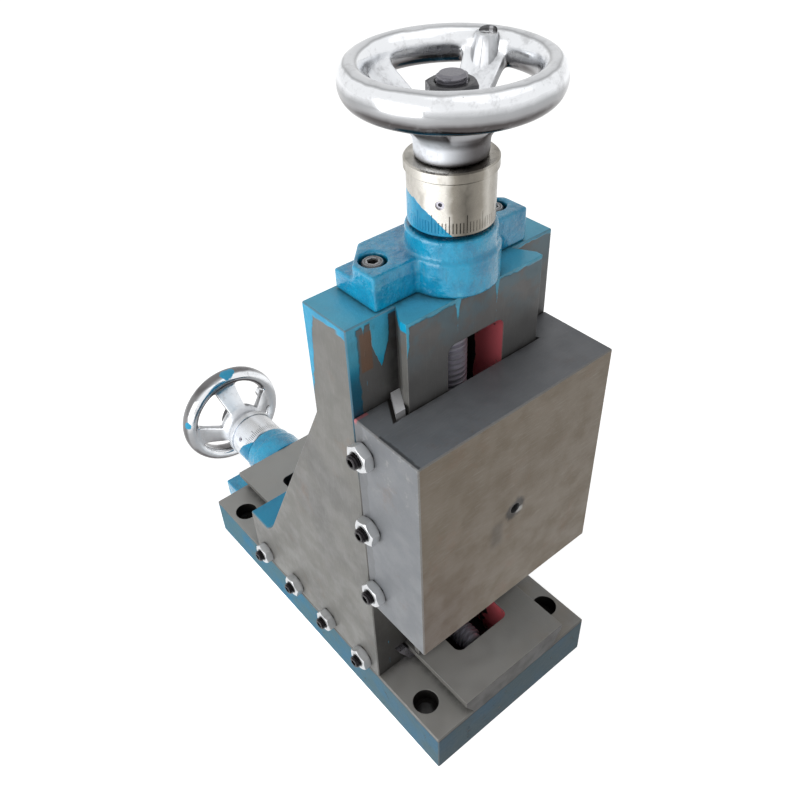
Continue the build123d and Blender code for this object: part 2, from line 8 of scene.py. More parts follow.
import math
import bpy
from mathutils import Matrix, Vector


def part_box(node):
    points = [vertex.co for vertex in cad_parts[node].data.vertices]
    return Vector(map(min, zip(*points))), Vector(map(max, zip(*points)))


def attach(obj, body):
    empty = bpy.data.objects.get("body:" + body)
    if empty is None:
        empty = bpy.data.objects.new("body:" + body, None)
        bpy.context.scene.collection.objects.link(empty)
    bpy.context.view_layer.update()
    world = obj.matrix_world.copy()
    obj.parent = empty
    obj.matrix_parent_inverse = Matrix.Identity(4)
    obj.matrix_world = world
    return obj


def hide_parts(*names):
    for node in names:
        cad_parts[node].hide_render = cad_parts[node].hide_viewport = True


bl_info = {
    "name": "Dovetail Slide",
    "version": (1, 0, 0),
    "blender": (4, 5, 0),
    "location": "3D View > Sidebar > Dovetail Slide",
    "description": "Builds the detailed pieces and finishes of a two-axis dovetail slide",
    "category": "Object",
}

import bmesh
import bpy
from bpy.props import FloatProperty, FloatVectorProperty, IntProperty, PointerProperty
from mathutils import Matrix, Vector

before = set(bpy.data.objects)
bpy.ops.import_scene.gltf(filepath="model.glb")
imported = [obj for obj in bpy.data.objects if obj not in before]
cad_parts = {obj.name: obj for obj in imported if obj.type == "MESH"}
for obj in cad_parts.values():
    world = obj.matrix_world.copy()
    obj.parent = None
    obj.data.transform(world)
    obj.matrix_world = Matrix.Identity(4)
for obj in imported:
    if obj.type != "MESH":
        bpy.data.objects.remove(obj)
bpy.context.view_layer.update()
MM = 0.001


def colour_setting(name, description, *screen):
    """Colour property with an 8-bit screen colour as its default."""
    channels = [c / 255 for c in screen]
    linear = [c / 12.92 if c <= 0.04045 else ((c + 0.055) / 1.055) ** 2.4 for c in channels]
    return FloatVectorProperty(
        name=name, description=description, default=(*linear, 1.0), subtype="COLOR", size=4, min=0.0, max=1.0
    )


def length_setting(name, description, default):
    """Length property in metres."""
    return FloatProperty(
        name=name, description=description, default=default, min=0.0, unit="LENGTH", precision=5
    )


def drive_frame(name):
    """Matrix from a drive's own frame to the model's frame, from the CAD nodes on it."""
    dial_low, dial_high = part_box(f"{name}_dial")
    bracket_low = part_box(f"{name}_bearing_bracket")[0]
    middle = (dial_low + dial_high) / 2
    if name == "base":
        turn = Matrix(((1, 0, 0, 0), (0, 0, 1, 0), (0, -1, 0, 0), (0, 0, 0, 1)))
        return Matrix.Translation((middle.x, bracket_low.y, middle.z)) @ turn
    return Matrix.Translation((middle.x, middle.y, bracket_low.z))


DRIVES = {name: drive_frame(name) for name in ("base", "column")}
CARRIERS = {"base": "base", "column": "knee"}


def box_in(stand, node):
    """Lowest and highest corner of a CAD node in another frame."""
    corners = [stand.inverted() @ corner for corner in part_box(node)]
    return [Vector([pick(parts) for parts in zip(*corners)]) for pick in (min, max)]


def drive_span(node, name="column"):
    """Start and end of a drive's node along the screw's axis."""
    low, high = box_in(DRIVES[name], f"{name}_{node}")
    return low.z, high.z


DIAL_START, DIAL_END = drive_span("dial")
HUB_END = drive_span("handwheel_washer")[0]
WHEEL_END = drive_span("handwheel")[1]
NUT_START, NUT_END = drive_span("handwheel_nut")


class CastingSettings(bpy.types.PropertyGroup):
    """Colours of the base, the knee and the carriage."""

    iron: colour_setting("Iron", "Ground cast iron", 118, 117, 113)
    # Brown stains on the base's top; also painted shade on the carriage's front
    iron_brown_and_shade: colour_setting("Brown and shaded iron", "Browned iron, and painted shade on shaded sides", 112, 97, 76)
    # Painted light on the carriage's sides and top
    iron_lit: colour_setting("Lit iron", "Painted light on the lit sides of the iron", 127, 131, 137)
    # Oil and age on the iron; also painted shade on the knee's front faces and slab and on the carriage's top
    iron_dark: colour_setting("Iron stain and shade", "Oil and age on the iron, and painted shade", 86, 86, 88)
    # Fresh metal at scrapes and edges; also painted highlight on sharp edges and painted light on the base's
    # top
    iron_bright: colour_setting("Iron scrapes and highlights", "Fresh metal at edges and scrapes, painted highlights and painted light", 172, 171, 168)
    rust: colour_setting("Rust", "Rust bloom on the ground iron", 122, 90, 68)
    paint: colour_setting("Paint", "Gloss blue paint of the brackets", 6, 168, 212)
    paint_deep: colour_setting("Deep paint", "Thick blue paint in corners", 6, 120, 166)
    paint_worn: colour_setting("Worn paint", "Faded blue paint of the cast sides", 66, 114, 130)
    primer: colour_setting("Primer", "Red primer inside the slots", 240, 112, 122)
    # Thin paint at worn edges; also painted light on the knee's upper paint and painted highlight on the
    # brackets
    paint_pale: colour_setting("Pale paint", "Thinly brushed blue paint, with painted light and highlights", 120, 206, 226)
    # Oily grime in smudges and engraving; also painted shade in corners, slots, counterbores and front faces,
    # and painted shadows
    grime_and_shade: colour_setting("Grime and shade", "Oily grime, and painted shade in corners and slots", 30, 27, 26)


class HardwareSettings(bpy.types.PropertyGroup):
    """Sizes and colours of the screws, nuts, gibs and lead screws."""

    thread_lead: length_setting("Thread lead", "Advance of the lead screw in one turn", 4 * MM)
    thread_depth: length_setting("Thread depth", "Depth of the lead screw's thread", 2.2 * MM)
    lock_nut_flats: length_setting("Lock nut flats", "Width across flats of a gib lock nut", 17 * MM)
    wheel_nut_flats: length_setting("Wheel nut flats", "Width across a handwheel nut", 24 * MM)
    zinc: colour_setting("Zinc", "Bright zinc plate", 214, 216, 218)
    oxide: colour_setting("Black oxide", "Black finish of the socket head screws", 52, 50, 52)
    steel: colour_setting("Steel", "Ground steel of screws and shafts", 204, 202, 212)
    bronze: colour_setting("Bronze", "Bush and feed nut bronze", 178, 138, 78)
    gib: colour_setting("Gib", "Scraped ends of the gibs", 246, 246, 248)


class WheelSettings(bpy.types.PropertyGroup):
    """Sizes and colours of the handwheels and dials."""

    rim_radius: length_setting("Rim radius", "Radius to the middle of the rim", 49.4 * MM)
    rim_width: length_setting("Rim width", "Width of the rim's oval section", 14.2 * MM)
    rim_depth: length_setting("Rim depth", "Depth of the rim's oval section", 19.6 * MM)
    divisions: IntProperty(
        name="Divisions", description="Graduations around a dial", default=80, min=10, max=200
    )
    plate: colour_setting("Plate", "Polished plate of the handwheels", 238, 240, 243)
    hub_steel: colour_setting("Hub steel", "Dull steel of the hubs", 232, 236, 242)
    # Painted reflection and shade on the handwheels, also the colour of their pits
    plate_dark: colour_setting("Dark plate", "Painted reflection and shade on the plate, and its pits", 74, 70, 70)
    dial_steel: colour_setting("Dial steel", "Satin steel of the dials", 214, 211, 204)
    # Painted shade across the dials, also their dim blotches
    dial_shade_and_blotch: colour_setting("Dim dial steel", "Painted shade across the dials, and their blotches", 136, 131, 122)


class StageSettings(bpy.types.PropertyGroup):
    """Camera, floor and light."""

    floor_drop: length_setting("Floor drop", "Floor's depth under the base", 30 * MM)
    plinth_inset: length_setting("Plinth inset", "Plinth's step in from the base's edge", 5 * MM)
    sky: FloatProperty(name="Sky", description="Strength of the all-round light", default=0.42)
    key_power: FloatProperty(
        name="Key power", description="Power of the large soft lamp", default=20.0, unit="POWER"
    )
    fill_power: FloatProperty(
        name="Fill power", description="Power of the soft lamp overhead", default=2.0, unit="POWER"
    )
    floor: colour_setting("Floor", "Pale floor", 240, 240, 240)


class SlideSettings(bpy.types.PropertyGroup):
    """Everything that the panel lists."""

    castings: PointerProperty(type=CastingSettings, name="Castings")
    hardware: PointerProperty(type=HardwareSettings, name="Hardware")
    wheels: PointerProperty(type=WheelSettings, name="Wheels")
    stage: PointerProperty(type=StageSettings, name="Stage")


def shade(colour, share):
    """Colour turned down to a share."""
    return (*(share * part for part in colour[:3]), 1.0)


def blend(first, second, share=0.5):
    """Colour between two colours."""
    return tuple((1 - share) * a + share * b for a, b in zip(first, second))


# Direction across the dials' side seen by the camera, from the side painted in shade to the side painted
# bright
ACROSS = (-0.767, 0.64, 0.0)


class Wiring:
    """Short ways to add nodes to the tree of a material or world, and to link them."""

    def __init__(self, owner):
        owner.use_nodes = True
        self.tree = owner.node_tree

    def add(self, kind, inputs=None, **settings):
        """Node of this kind, with its inputs set or linked."""
        node = self.tree.nodes.new(kind)
        for name, value in settings.items():
            setattr(node, name, value)
        for socket, value in (inputs or {}).items():
            self.put(node.inputs[socket], value)
        return node

    def put(self, socket, value):
        """Link an output to a socket, or set its value."""
        if isinstance(value, bpy.types.NodeSocket):
            self.tree.links.new(value, socket)
        else:
            socket.default_value = value

    def math(self, operation, a, b=0.0):
        """One step of arithmetic."""
        return self.add("ShaderNodeMath", {0: a, 1: b}, operation=operation).outputs[0]

    def any_of(self, first, *others):
        """Mask that is on where one of the masks is."""
        for mask in others:
            first = self.math("MAXIMUM", first, mask)
        return first

    def seen_directly(self):
        """Output that is 1 for rays from the camera and through gloss or glass."""
        path = self.add("ShaderNodeLightPath").outputs
        return self.any_of(*(path[f"Is {kind} Ray"] for kind in ("Camera", "Glossy", "Transmission")))


class Finish(Wiring):
    """One procedural material: a tint in layers, and short ways to the textures and masks that feed it."""

    def __init__(self, name, tint, **sockets):
        self.material = bpy.data.materials.new(name)
        super().__init__(self.material)
        self.shader = self.tree.nodes["Principled BSDF"]
        self.tint = tint
        self.feed(**sockets)
        self.place = self.add("ShaderNodeTexCoord").outputs["Object"]
        self.normal = self.add("ShaderNodeNewGeometry").outputs["Normal"]
        self.x, self.y, self.z = (self.scaled(part, 1 / MM) for part in self.split(self.place))
        self.facing = dict(zip("XYZ", self.split(self.normal)))

    def feed(self, **sockets):
        """Set or link the shader's sockets."""
        for socket, value in sockets.items():
            self.put(self.shader.inputs[socket.replace("_", " ")], value)

    def done(self, **sockets):
        """Material, once the tint and these sockets are fed to the shader."""
        self.feed(Base_Color=self.tint, **sockets)
        return self.material

    def lay(self, colour, share, *masks):
        """Lay a share of a colour over the tint where all the masks are on."""
        self.tint = self.mix(self.scaled(self.all_of(*masks), share), self.tint, colour)

    def split(self, vector):
        """A vector's three parts."""
        return self.add("ShaderNodeSeparateXYZ", {0: vector}).outputs

    def vector(self, operation, *vectors):
        """One step of vector arithmetic, as a vector or as a number."""
        node = self.add("ShaderNodeVectorMath", dict(enumerate(vectors)), operation=operation)
        return node.outputs["Value" if operation in ("DOT_PRODUCT", "DISTANCE", "LENGTH") else "Vector"]

    def length(self, a, b):
        """Length of a vector with these two parts."""
        return self.vector("LENGTH", self.add("ShaderNodeCombineXYZ", {0: a, 1: b}).outputs[0])

    def plus(self, a, b):
        """Sum of two values."""
        return self.math("ADD", a, b)

    def less(self, a, b):
        """First value less the second."""
        return self.math("SUBTRACT", a, b)

    def size(self, value):
        """Value without its sign."""
        return self.math("ABSOLUTE", value)

    def scaled(self, mask, share):
        """Value or mask turned down to a share."""
        return self.math("MULTIPLY", mask, share)

    def all_of(self, first, *others):
        """Mask that is on where every mask is."""
        for mask in others:
            first = self.math("MULTIPLY", first, mask)
        return first

    def but_not(self, first, other):
        """Mask that is on where the first is and the other isn't."""
        return self.all_of(first, self.less(1.0, other))

    def ease(self, value, low, high, start=0.0, end=1.0):
        """Smooth step of a value from start at low to end at high."""
        inputs = {"Value": value, "From Min": low, "From Max": high, "To Min": start, "To Max": end}
        return self.add("ShaderNodeMapRange", inputs, interpolation_type="SMOOTHSTEP").outputs[0]

    def noise(self, size, stretch=(1, 1, 1), detail=5.0, roughness=0.55, shift=0.0):
        """Noise with features of about this size, stretched along an axis."""
        scale = tuple(1 / (size * MM * s) for s in stretch)
        where = self.add(
            "ShaderNodeMapping", {"Vector": self.place, "Scale": scale, "Location": (shift,) * 3}
        )
        inputs = {"Vector": where.outputs[0], "Scale": 1.0, "Detail": detail, "Roughness": roughness}
        return self.add("ShaderNodeTexNoise", inputs).outputs[0]

    def patches(self, size, low, high, start=0.0, end=1.0, **noise):
        """Smooth step of a noise of this size."""
        return self.ease(self.noise(size, **noise), low, high, start, end)

    def mix(self, share, first, second):
        """Colour between two colours."""
        return self.add("ShaderNodeMix", {0: share, 6: first, 7: second}, data_type="RGBA").outputs[2]

    def ramp(self, value, *stops):
        """Colour that runs through (place, colour) stops."""
        node = self.add("ShaderNodeValToRGB", {0: value})
        bands = node.color_ramp.elements
        for band, (place, colour) in zip(bands, (stops[0], stops[-1])):
            band.position = place
            band.color = colour
        for place, colour in stops[1:-1]:
            bands.new(place).color = colour
        return node.outputs[0]

    def within(self, value, low, high, blur=0.6, wander=None):
        """Mask of the zone between two values, with an edge that may wander."""
        if wander is not None:
            value = self.plus(value, wander)
        rise = self.ease(value, low - blur, low + blur)
        return self.all_of(rise, self.ease(value, high - blur, high + blur, 1.0, 0.0))

    def zone(self, wander=None, blur=0.6, **spans):
        """Mask of what lies within a span of each axis that is named, such as x=(-10, 10)."""
        return self.all_of(
            *(self.within(getattr(self, axis), *span, blur, wander) for axis, span in spans.items())
        )

    def wander(self, size, reach, shift=0.0):
        """Offset that makes an edge irregular, up to about this reach."""
        return self.scaled(self.less(self.noise(size, detail=3.0, shift=shift), 0.5), 4 * reach)

    def from_axis(self):
        """Distance from the Z axis."""
        return self.length(self.x, self.y)

    def across(self):
        """Distance across the photographed side."""
        return self.scaled(self.vector("DOT_PRODUCT", self.place, ACROSS), 1 / MM)

    def near(self, point, reach, wander):
        """Mask of what lies within reach of a point, with an edge that wanders."""
        gap = self.vector("DISTANCE", self.place, [part * MM for part in point])
        return self.ease(self.plus(self.scaled(gap, 1 / MM), wander), reach, 0.75 * reach)

    def looks(self, side):
        """Mask of the faces that look to a side, such as -Y."""
        sign = -1 if side[0] == "-" else 1
        return self.ease(self.facing[side[-1]], 0.6 * sign, 0.85 * sign)

    def sides(self, axis):
        """Mask of the faces that look either way along an axis."""
        return self.ease(self.size(self.facing[axis]), 0.6, 0.85)

    def rounded(self, radius):
        """Normal with the sharp edges rounded off."""
        return self.add("ShaderNodeBevel", {"Radius": radius * MM}, samples=4).outputs[0]

    def edges(self, reach):
        """Mask of the sharp edges, to this reach from them."""
        return self.ease(self.vector("DOT_PRODUCT", self.rounded(reach), self.normal), 0.985, 0.8)

    def corners(self, reach):
        """Mask of the corners and crevices, from ambient occlusion, where painted shade goes."""
        node = self.add("ShaderNodeAmbientOcclusion", {"Distance": reach * MM}, samples=6)
        return self.ease(node.outputs["AO"], 0.95, 0.35)

    def bump(self, height, depth):
        """Relief of this depth, laid over any relief that is there already."""
        node = self.add("ShaderNodeBump", {"Height": height, "Distance": depth * MM, "Strength": 1.0})
        normal = self.shader.inputs["Normal"]
        if normal.is_linked:
            self.put(node.inputs["Normal"], normal.links[0].from_socket)
        self.put(normal, node.outputs[0])


def new_object(name, mesh):
    """Object for a mesh, linked into the scene."""
    piece = bpy.data.objects.new(name, mesh)
    bpy.context.scene.collection.objects.link(piece)
    return piece


def new_mesh(name, points, faces):
    """Closed mesh with its faces turned outwards."""
    mesh = bpy.data.meshes.new(name)
    mesh.from_pydata(points, [], faces)
    build = bmesh.new()
    build.from_mesh(mesh)
    bmesh.ops.remove_doubles(build, verts=build.verts, dist=1e-6)
    bmesh.ops.dissolve_degenerate(build, edges=build.edges, dist=1e-6)
    bmesh.ops.recalc_face_normals(build, faces=build.faces)
    build.to_mesh(mesh)
    build.free()
    return mesh


def lathe(name, profile, steps=96, relief=None):
    """Mesh turned around Z from (radius, height) points, closed on the axis or back to its start.

    relief(ring, step) gives what a point's radius loses.
    """
    rings, points = [], []
    for ring, (radius, height) in enumerate(profile):
        if radius < 1e-7:
            points.append((0, 0, height))
            rings.append([len(points) - 1] * steps)
            continue
        rings.append(list(range(len(points), len(points) + steps)))
        for step in range(steps):
            angle = math.tau * step / steps
            r = radius - (relief(ring, step) if relief else 0.0)
            points.append((r * math.cos(angle), r * math.sin(angle), height))
    on_axis = profile[0][0] < 1e-7 and profile[-1][0] < 1e-7
    pairs = list(zip(rings, rings[1:])) + ([] if on_axis else [(rings[-1], rings[0])])
    faces = []
    for low, high in pairs:
        for step in range(steps):
            after = (step + 1) % steps
            corners = (low[step], low[after], high[after], high[step])
            face = tuple(dict.fromkeys(corners))
            if len(face) > 2:
                faces.append(face)
    return new_mesh(name, points, faces)


def prism(name, radius, start, end, sides=6):
    """Upright prism with corners on a radius."""
    ring = [math.tau * i / sides for i in range(sides)]
    points = [(radius * math.cos(a), radius * math.sin(a), z) for z in (start, end) for a in ring]
    faces = [tuple(range(sides)), tuple(range(sides, 2 * sides))]
    faces += [(i, (i + 1) % sides, sides + (i + 1) % sides, sides + i) for i in range(sides)]
    return new_mesh(name, points, faces)


def bar(name, xs, ys, zs):
    """Square bar between these places on each axis."""
    points = [(x, y, z) for z in zs for x in xs for y in ys]
    faces = [(0, 1, 3, 2), (4, 5, 7, 6), (0, 1, 5, 4), (2, 3, 7, 6), (0, 2, 6, 4), (1, 3, 7, 5)]
    return new_mesh(name, points, faces)


# Shares of one pitch at which a thread's root and crest begin and end
THREAD_FORM = ((0.0, 0.0), (0.35, 0.0), (0.5, 1.0), (0.85, 1.0))


def thread(name, radius, depth, lead, start, end, steps=40):
    """Right-hand thread between two places on Z, closed by a flat face at each end."""
    form = len(THREAD_FORM)
    turns = math.ceil((end - start) / lead) + 2
    rows = form * turns
    points = []
    for row in range(rows):
        share, crest = THREAD_FORM[row % form]
        for step in range(steps):
            angle = math.tau * step / steps
            height = start + (row // form - 1 + share + step / steps) * lead
            inside = start < height < end
            r = radius - (depth * (1 - crest) if inside else depth)
            points.append((r * math.cos(angle), r * math.sin(angle), min(max(height, start), end)))
    faces = []
    for row in range(rows - 1):
        for step in range(steps - 1):
            at = row * steps + step
            faces.append((at, at + 1, at + 1 + steps, at + steps))
        if row + form + 1 < rows:
            at, after = row * steps + steps - 1, (row + form) * steps
            faces.append((at, after, after + steps, at + steps))
    faces.append(tuple(range(steps)))
    faces.append(tuple(range((rows - 1) * steps, rows * steps)))
    return new_mesh(name, points, faces)


def modified(mesh, *steps):
    """Mesh with modifiers applied, each given as its kind and settings."""
    piece = new_object("piece", mesh)
    for kind, settings in steps:
        modifier = piece.modifiers.new(kind, kind)
        for name, value in settings.items():
            setattr(modifier, name, value)
    graph = bpy.context.evaluated_depsgraph_get()
    result = bpy.data.meshes.new_from_object(piece.evaluated_get(graph))
    bpy.data.objects.remove(piece)
    return result


def carve(mesh, tool_mesh, operation="DIFFERENCE"):
    """Mesh cut by a tool mesh, joined to it, or what the two share."""
    tool = new_object("tool", tool_mesh)
    result = modified(mesh, ("BOOLEAN", {"operation": operation, "solver": "EXACT", "object": tool}))
    bpy.data.objects.remove(tool)
    return result


def moved(mesh, matrix):
    """Mesh after a move."""
    mesh.transform(matrix)
    return mesh


def join_meshes(name, parts):
    """One mesh from (mesh, matrix) parts."""
    build = bmesh.new()
    for mesh, matrix in parts:
        build.from_mesh(moved(mesh.copy(), matrix))
    joined = bpy.data.meshes.new(name)
    build.to_mesh(joined)
    build.free()
    return joined


def make_piece(name, mesh, finish, body, slot, *nodes, angle=25.0, stand=None):
    """Piece in its frame, with its shading, finish and body, and the CAD nodes that it stands for hidden; its
    slot is not used.
    """
    piece = new_object(name, mesh)
    if stand is not None:
        piece.matrix_world = stand
    mesh.shade_smooth()
    mesh.set_sharp_from_angle(angle=math.radians(angle))
    mesh.materials.clear()
    mesh.materials.append(finish)
    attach(piece, body)
    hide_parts(*nodes)


def coat_nodes(finish, *nodes):
    """Give CAD nodes this finish."""
    for name in nodes:
        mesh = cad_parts[name].data
        mesh.materials.clear()
        mesh.materials.append(finish)


class Iron(Finish):
    """Ground cast iron that collects layers of paint, primer and dirt, with painted light and shade by the
    way its faces look and painted shade in its corners.
    """

    def __init__(self, name, style, grain, warm_sides=(), cool_sides=(), shine=0.35):
        super().__init__(name, style.iron, Metallic=0.3, Specular_IOR_Level=shine)
        self.style = style
        self.feed(Normal=self.rounded(0.7))
        self.lay(style.iron_dark, 0.4, self.patches(60, 0.42, 0.72))
        # Lit and shaded copies of the iron, by the way each face looks: painted light and painted shade
        for sides, colour in ((warm_sides, style.iron_brown_and_shade), (cool_sides, style.iron_lit)):
            for side in sides:
                self.lay(colour, 0.75, self.looks(side))
        self.lay(style.rust, 0.3, self.patches(22, 0.56, 0.76, detail=7.0, roughness=0.68, shift=3.1))
        lines = self.noise(0.6, stretch=grain, detail=3.0, shift=1.7)
        self.lay(style.iron_bright, 0.16, self.ease(lines, 0.5, 0.78))
        speck = self.noise(2.4, detail=6.0, roughness=0.7, shift=8.4)
        self.lay(style.iron_dark, 0.45, self.ease(speck, 0.62, 0.72))
        # Sharp edges lighter: worn metal, and painted highlight
        self.edge = self.edges(1.2)
        self.lay(style.iron_bright, 0.5, self.edge)
        self.shine = self.patches(14, 0.3, 0.7, 0.36, 0.55, shift=9.0)
        self.bump(lines, 0.04)
        self.bump(speck, 0.05)
        self.coated = None

    def paint(self, mask, colour, chips=0.68, gloss=0.3):
        """Brush paint on a zone, chipped here and there, with a raised edge."""
        chipped = self.patches(6, chips, chips + 0.03, detail=7.0, roughness=0.72, shift=5.0)
        mask = self.but_not(mask, chipped)
        fade = self.patches(26, 0.4, 0.75, 0.0, 0.6, shift=7.7)
        self.lay(self.mix(fade, colour, self.style.paint_deep), 1.0, mask)
        worn = self.patches(5, 0.46, 0.6, detail=6.0, roughness=0.65, shift=10.3)
        self.lay(self.style.paint_pale, 0.7, mask, self.edge, worn)
        self.bump(mask, 0.15)
        self.bump(self.all_of(mask, self.noise(3.5, detail=3.0, shift=12.1)), 0.3)
        self.shine = self.plus(self.scaled(mask, gloss), self.but_not(self.shine, mask))
        self.coated = mask if self.coated is None else self.any_of(self.coated, mask)

    def finish(self):
        """Material, once painted shade, broken up in patches, lies in the corners."""
        broken_up = self.patches(7, 0.2, 0.7, 0.45, 1.0, shift=2.2)
        # Painted shade in the corners, broken up in patches
        self.lay(self.style.grime_and_shade, 0.75, self.corners(9), broken_up)
        if self.coated is not None:
            self.feed(Metallic=self.scaled(self.less(1.0, self.coated), 0.3))
        return self.done(Roughness=self.shine)


class SLIDE_OT_castings(bpy.types.Operator):
    """Finish the base, the knee and the carriage"""

    bl_idname = "slide.castings"
    bl_label = "Castings"

    def execute(self, context):
        style = context.scene.slide_settings.castings
        coat_nodes(self.base(style), "base_slide")
        coat_nodes(self.knee(style), "knee")
        coat_nodes(self.carriage(style), "carriage")
        return {"FINISHED"}

    def base(self, style):
        """Ground ways and top, the top lighter towards the front left as painted light, faded blue cast sides
        with painted shade on the front end, red primer and grime with painted shade in the screw's slot and
        the counterbores.
        """
        coat = Iron("base iron", style, (1, 14, 1), shine=0.1)
        x, y, z = coat.x, coat.y, coat.z
        top, end = coat.looks("Z"), coat.looks("-Y")
        coat.lay(style.iron_brown_and_shade, 0.4, top, coat.patches(34, 0.45, 0.65, shift=5.8))
        # Painted light: the top lighter towards the front left
        coat.lay(style.iron_bright, 0.8, top, coat.ease(y, -60, -110), coat.ease(x, 60, -20, 0.4, 1.0))
        coat.lay(style.iron_bright, 0.75, top, coat.ease(y, 60, 110))
        # Painted shade on the front end
        coat.lay(style.grime_and_shade, 0.25, end)
        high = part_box("base_slide")[1] / MM
        outer = coat.any_of(
            *(
                coat.all_of(coat.sides(axis), coat.ease(coat.size(value), reach - 1.5, reach - 0.5))
                for axis, value, reach in (("X", x, high.x), ("Y", y, high.y))
            )
        )
        level = coat.zone(coat.wander(12, 0.7), z=(-5, 37.5))
        coat.paint(coat.all_of(level, outer), style.paint_worn, chips=0.64, gloss=0.5)
        coat.lay(style.iron_dark, 0.35, outer, coat.ease(y, 60, -150))
        # Painted shade on the painted front end
        coat.lay(style.grime_and_shade, 0.5, outer, end)
        slot = coat.zone(x=(-28, 28), y=(-126, 126), z=(10, 59))
        red = coat.all_of(slot, coat.looks("-X"), coat.patches(16, 0.4, 0.5, shift=6.1))
        # Grime and painted shade in the slot, apart from its red wall
        coat.lay(style.grime_and_shade, 0.9, coat.but_not(slot, red))
        coat.lay(style.primer, 0.95, red)
        # Grime and painted shade in the counterbores
        from_bolt = coat.length(coat.less(coat.size(x), 66), coat.less(coat.size(y), 130))
        coat.lay(style.grime_and_shade, 0.95, coat.ease(from_bolt, 10.4, 10.1), coat.ease(z, 39.6, 39.2))
        return coat.finish()

    def knee(self, style):
        """Ground sides and ways, gloss blue on top, behind and between the gussets, with runs; painted shade
        on the upper front faces, the slab and the recess strip, a painted shadow under the carriage, grime
        with painted shade in the slot, and paint paler on the upper front and top as painted light.
        """
        coat = Iron("knee iron", style, (1, 1, 14))
        x, y, z = coat.x, coat.y, coat.z
        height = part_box("knee")[1].z / MM
        ragged = coat.wander(14, 1.6, shift=1.3)
        front, back, top, side = coat.looks("-Y"), coat.looks("Y"), coat.looks("Z"), coat.sides("X")
        # Painted shade on the upper front faces
        coat.lay(style.iron_dark, 0.6, front, coat.zone(z=(300, 375)))
        # Painted shadow on the front under the carriage
        coat.lay(style.grime_and_shade, 0.6, front, coat.ease(z, 142, 120))
        bay = coat.all_of(coat.zone(x=(-61, 61), y=(-51, 90)), coat.ease(z, 86, 88))
        behind = coat.less(y, coat.scaled(coat.less(height, z), 0.14))
        band = coat.all_of(side, coat.within(behind, -60, -45, wander=ragged), coat.ease(z, 296, 300))
        lip = coat.all_of(side, coat.zone(ragged, z=(367, 380)), coat.ease(y, -80, -84))
        cap = coat.all_of(side, coat.zone(ragged, z=(369, 380)))
        strip = coat.all_of(front, coat.zone(ragged, x=(-82, -72.5)), coat.ease(z, 250, 300))
        edge = coat.all_of(front, coat.zone(ragged, z=(370.5, 380)))
        runs = []
        for middle, width, tip in ((-57, 6.5, 334), (-15, 3.0, 352), (15.5, 3.2, 355), (-68, 5.0, 362)):
            taper = coat.ease(z, tip, tip + 26, 0.0, width)
            off = coat.plus(coat.size(coat.less(x, middle)), coat.wander(5, 0.5, shift=4.4))
            runs.append(coat.all_of(front, coat.ease(coat.less(taper, off), 0.0, 0.5)))
        coat.paint(coat.any_of(top, back, bay, strip, band, lip, cap, edge, *runs), style.paint)
        upper = coat.ease(z, 340, 350)
        # Painted light: the paint paler on the upper front and top faces
        coat.lay(style.paint_pale, 0.4, coat.coated, front, upper)
        coat.lay(style.paint_pale, 0.5, coat.coated, top, upper)
        # Painted shade on the slab between the gussets
        coat.lay(style.iron_dark, 0.25, top, coat.ease(z, 100, 90))
        # Painted shade on the strip, darker lower down the recess
        coat.lay(style.grime_and_shade, 0.75, strip, coat.ease(z, 360, 330))
        film = coat.patches(13, 0.42, 0.6, shift=13.7)
        coat.lay(style.paint_worn, 0.4, front, film, coat.ease(z, 330, 372))
        slot = coat.zone(x=(-23, 23), y=(-107, -60), z=(90, 350))
        patchy = coat.patches(18, 0.36, 0.44, shift=2.6)
        red = coat.all_of(slot, coat.looks("-X"), coat.zone(ragged, y=(-108, -83)), patchy)
        coat.lay(style.rust, 0.8, front, coat.zone(x=(-71, -63), z=(340, 366)))
        # Grime and painted shade in the slot, apart from its red wall
        coat.lay(style.grime_and_shade, 0.92, coat.but_not(slot, red))
        coat.lay(style.primer, 0.9, red)
        return coat.finish()

    def carriage(self, style):
        """Ground block, warmer and darker in front as painted shade, cooler and lighter at the sides and top
        as painted light, with painted shade on its top and a painted shadow beside the gib, worn at its upper
        back edges.
        """
        coat = Iron(
            "carriage iron", style, (14, 1, 1), warm_sides=("-Y",), cool_sides=("-X", "X", "Z")
        )
        x, y, z = coat.x, coat.y, coat.z
        front, left, top = coat.looks("-Y"), coat.looks("-X"), coat.looks("Z")
        # Painted shade: the top darker towards +X
        coat.lay(style.iron_dark, 0.5, top, coat.ease(x, -70, 40))
        low_left = coat.all_of(front, coat.ease(x, 0, -80), coat.ease(z, 250, 150))
        coat.lay(style.rust, 0.3, low_left)
        coat.lay(style.grime_and_shade, 0.4, low_left)
        flank = coat.less(x, coat.scaled(coat.plus(y, 90), 0.577))
        # Painted shadow of the gap beside the gib, as a dark strip on the top
        coat.lay(style.grime_and_shade, 1.0, top, coat.within(flank, -55, -51), coat.zone(y=(-109, -89)))
        coat.lay(style.iron_dark, 0.35, left, coat.zone(coat.wander(20, 2.6), y=(-98, -88)))
        scuffs = coat.patches(9, 0.55, 0.66, detail=6.0, roughness=0.7, shift=4.9)
        coat.lay(style.iron_bright, 0.5, left, coat.ease(z, 250, 300), scuffs)
        smudge = coat.all_of(coat.zone(blur=3, x=(-21, -11)), coat.zone(blur=4, z=(200, 221)))
        coat.lay(style.grime_and_shade, 0.4, front, smudge)
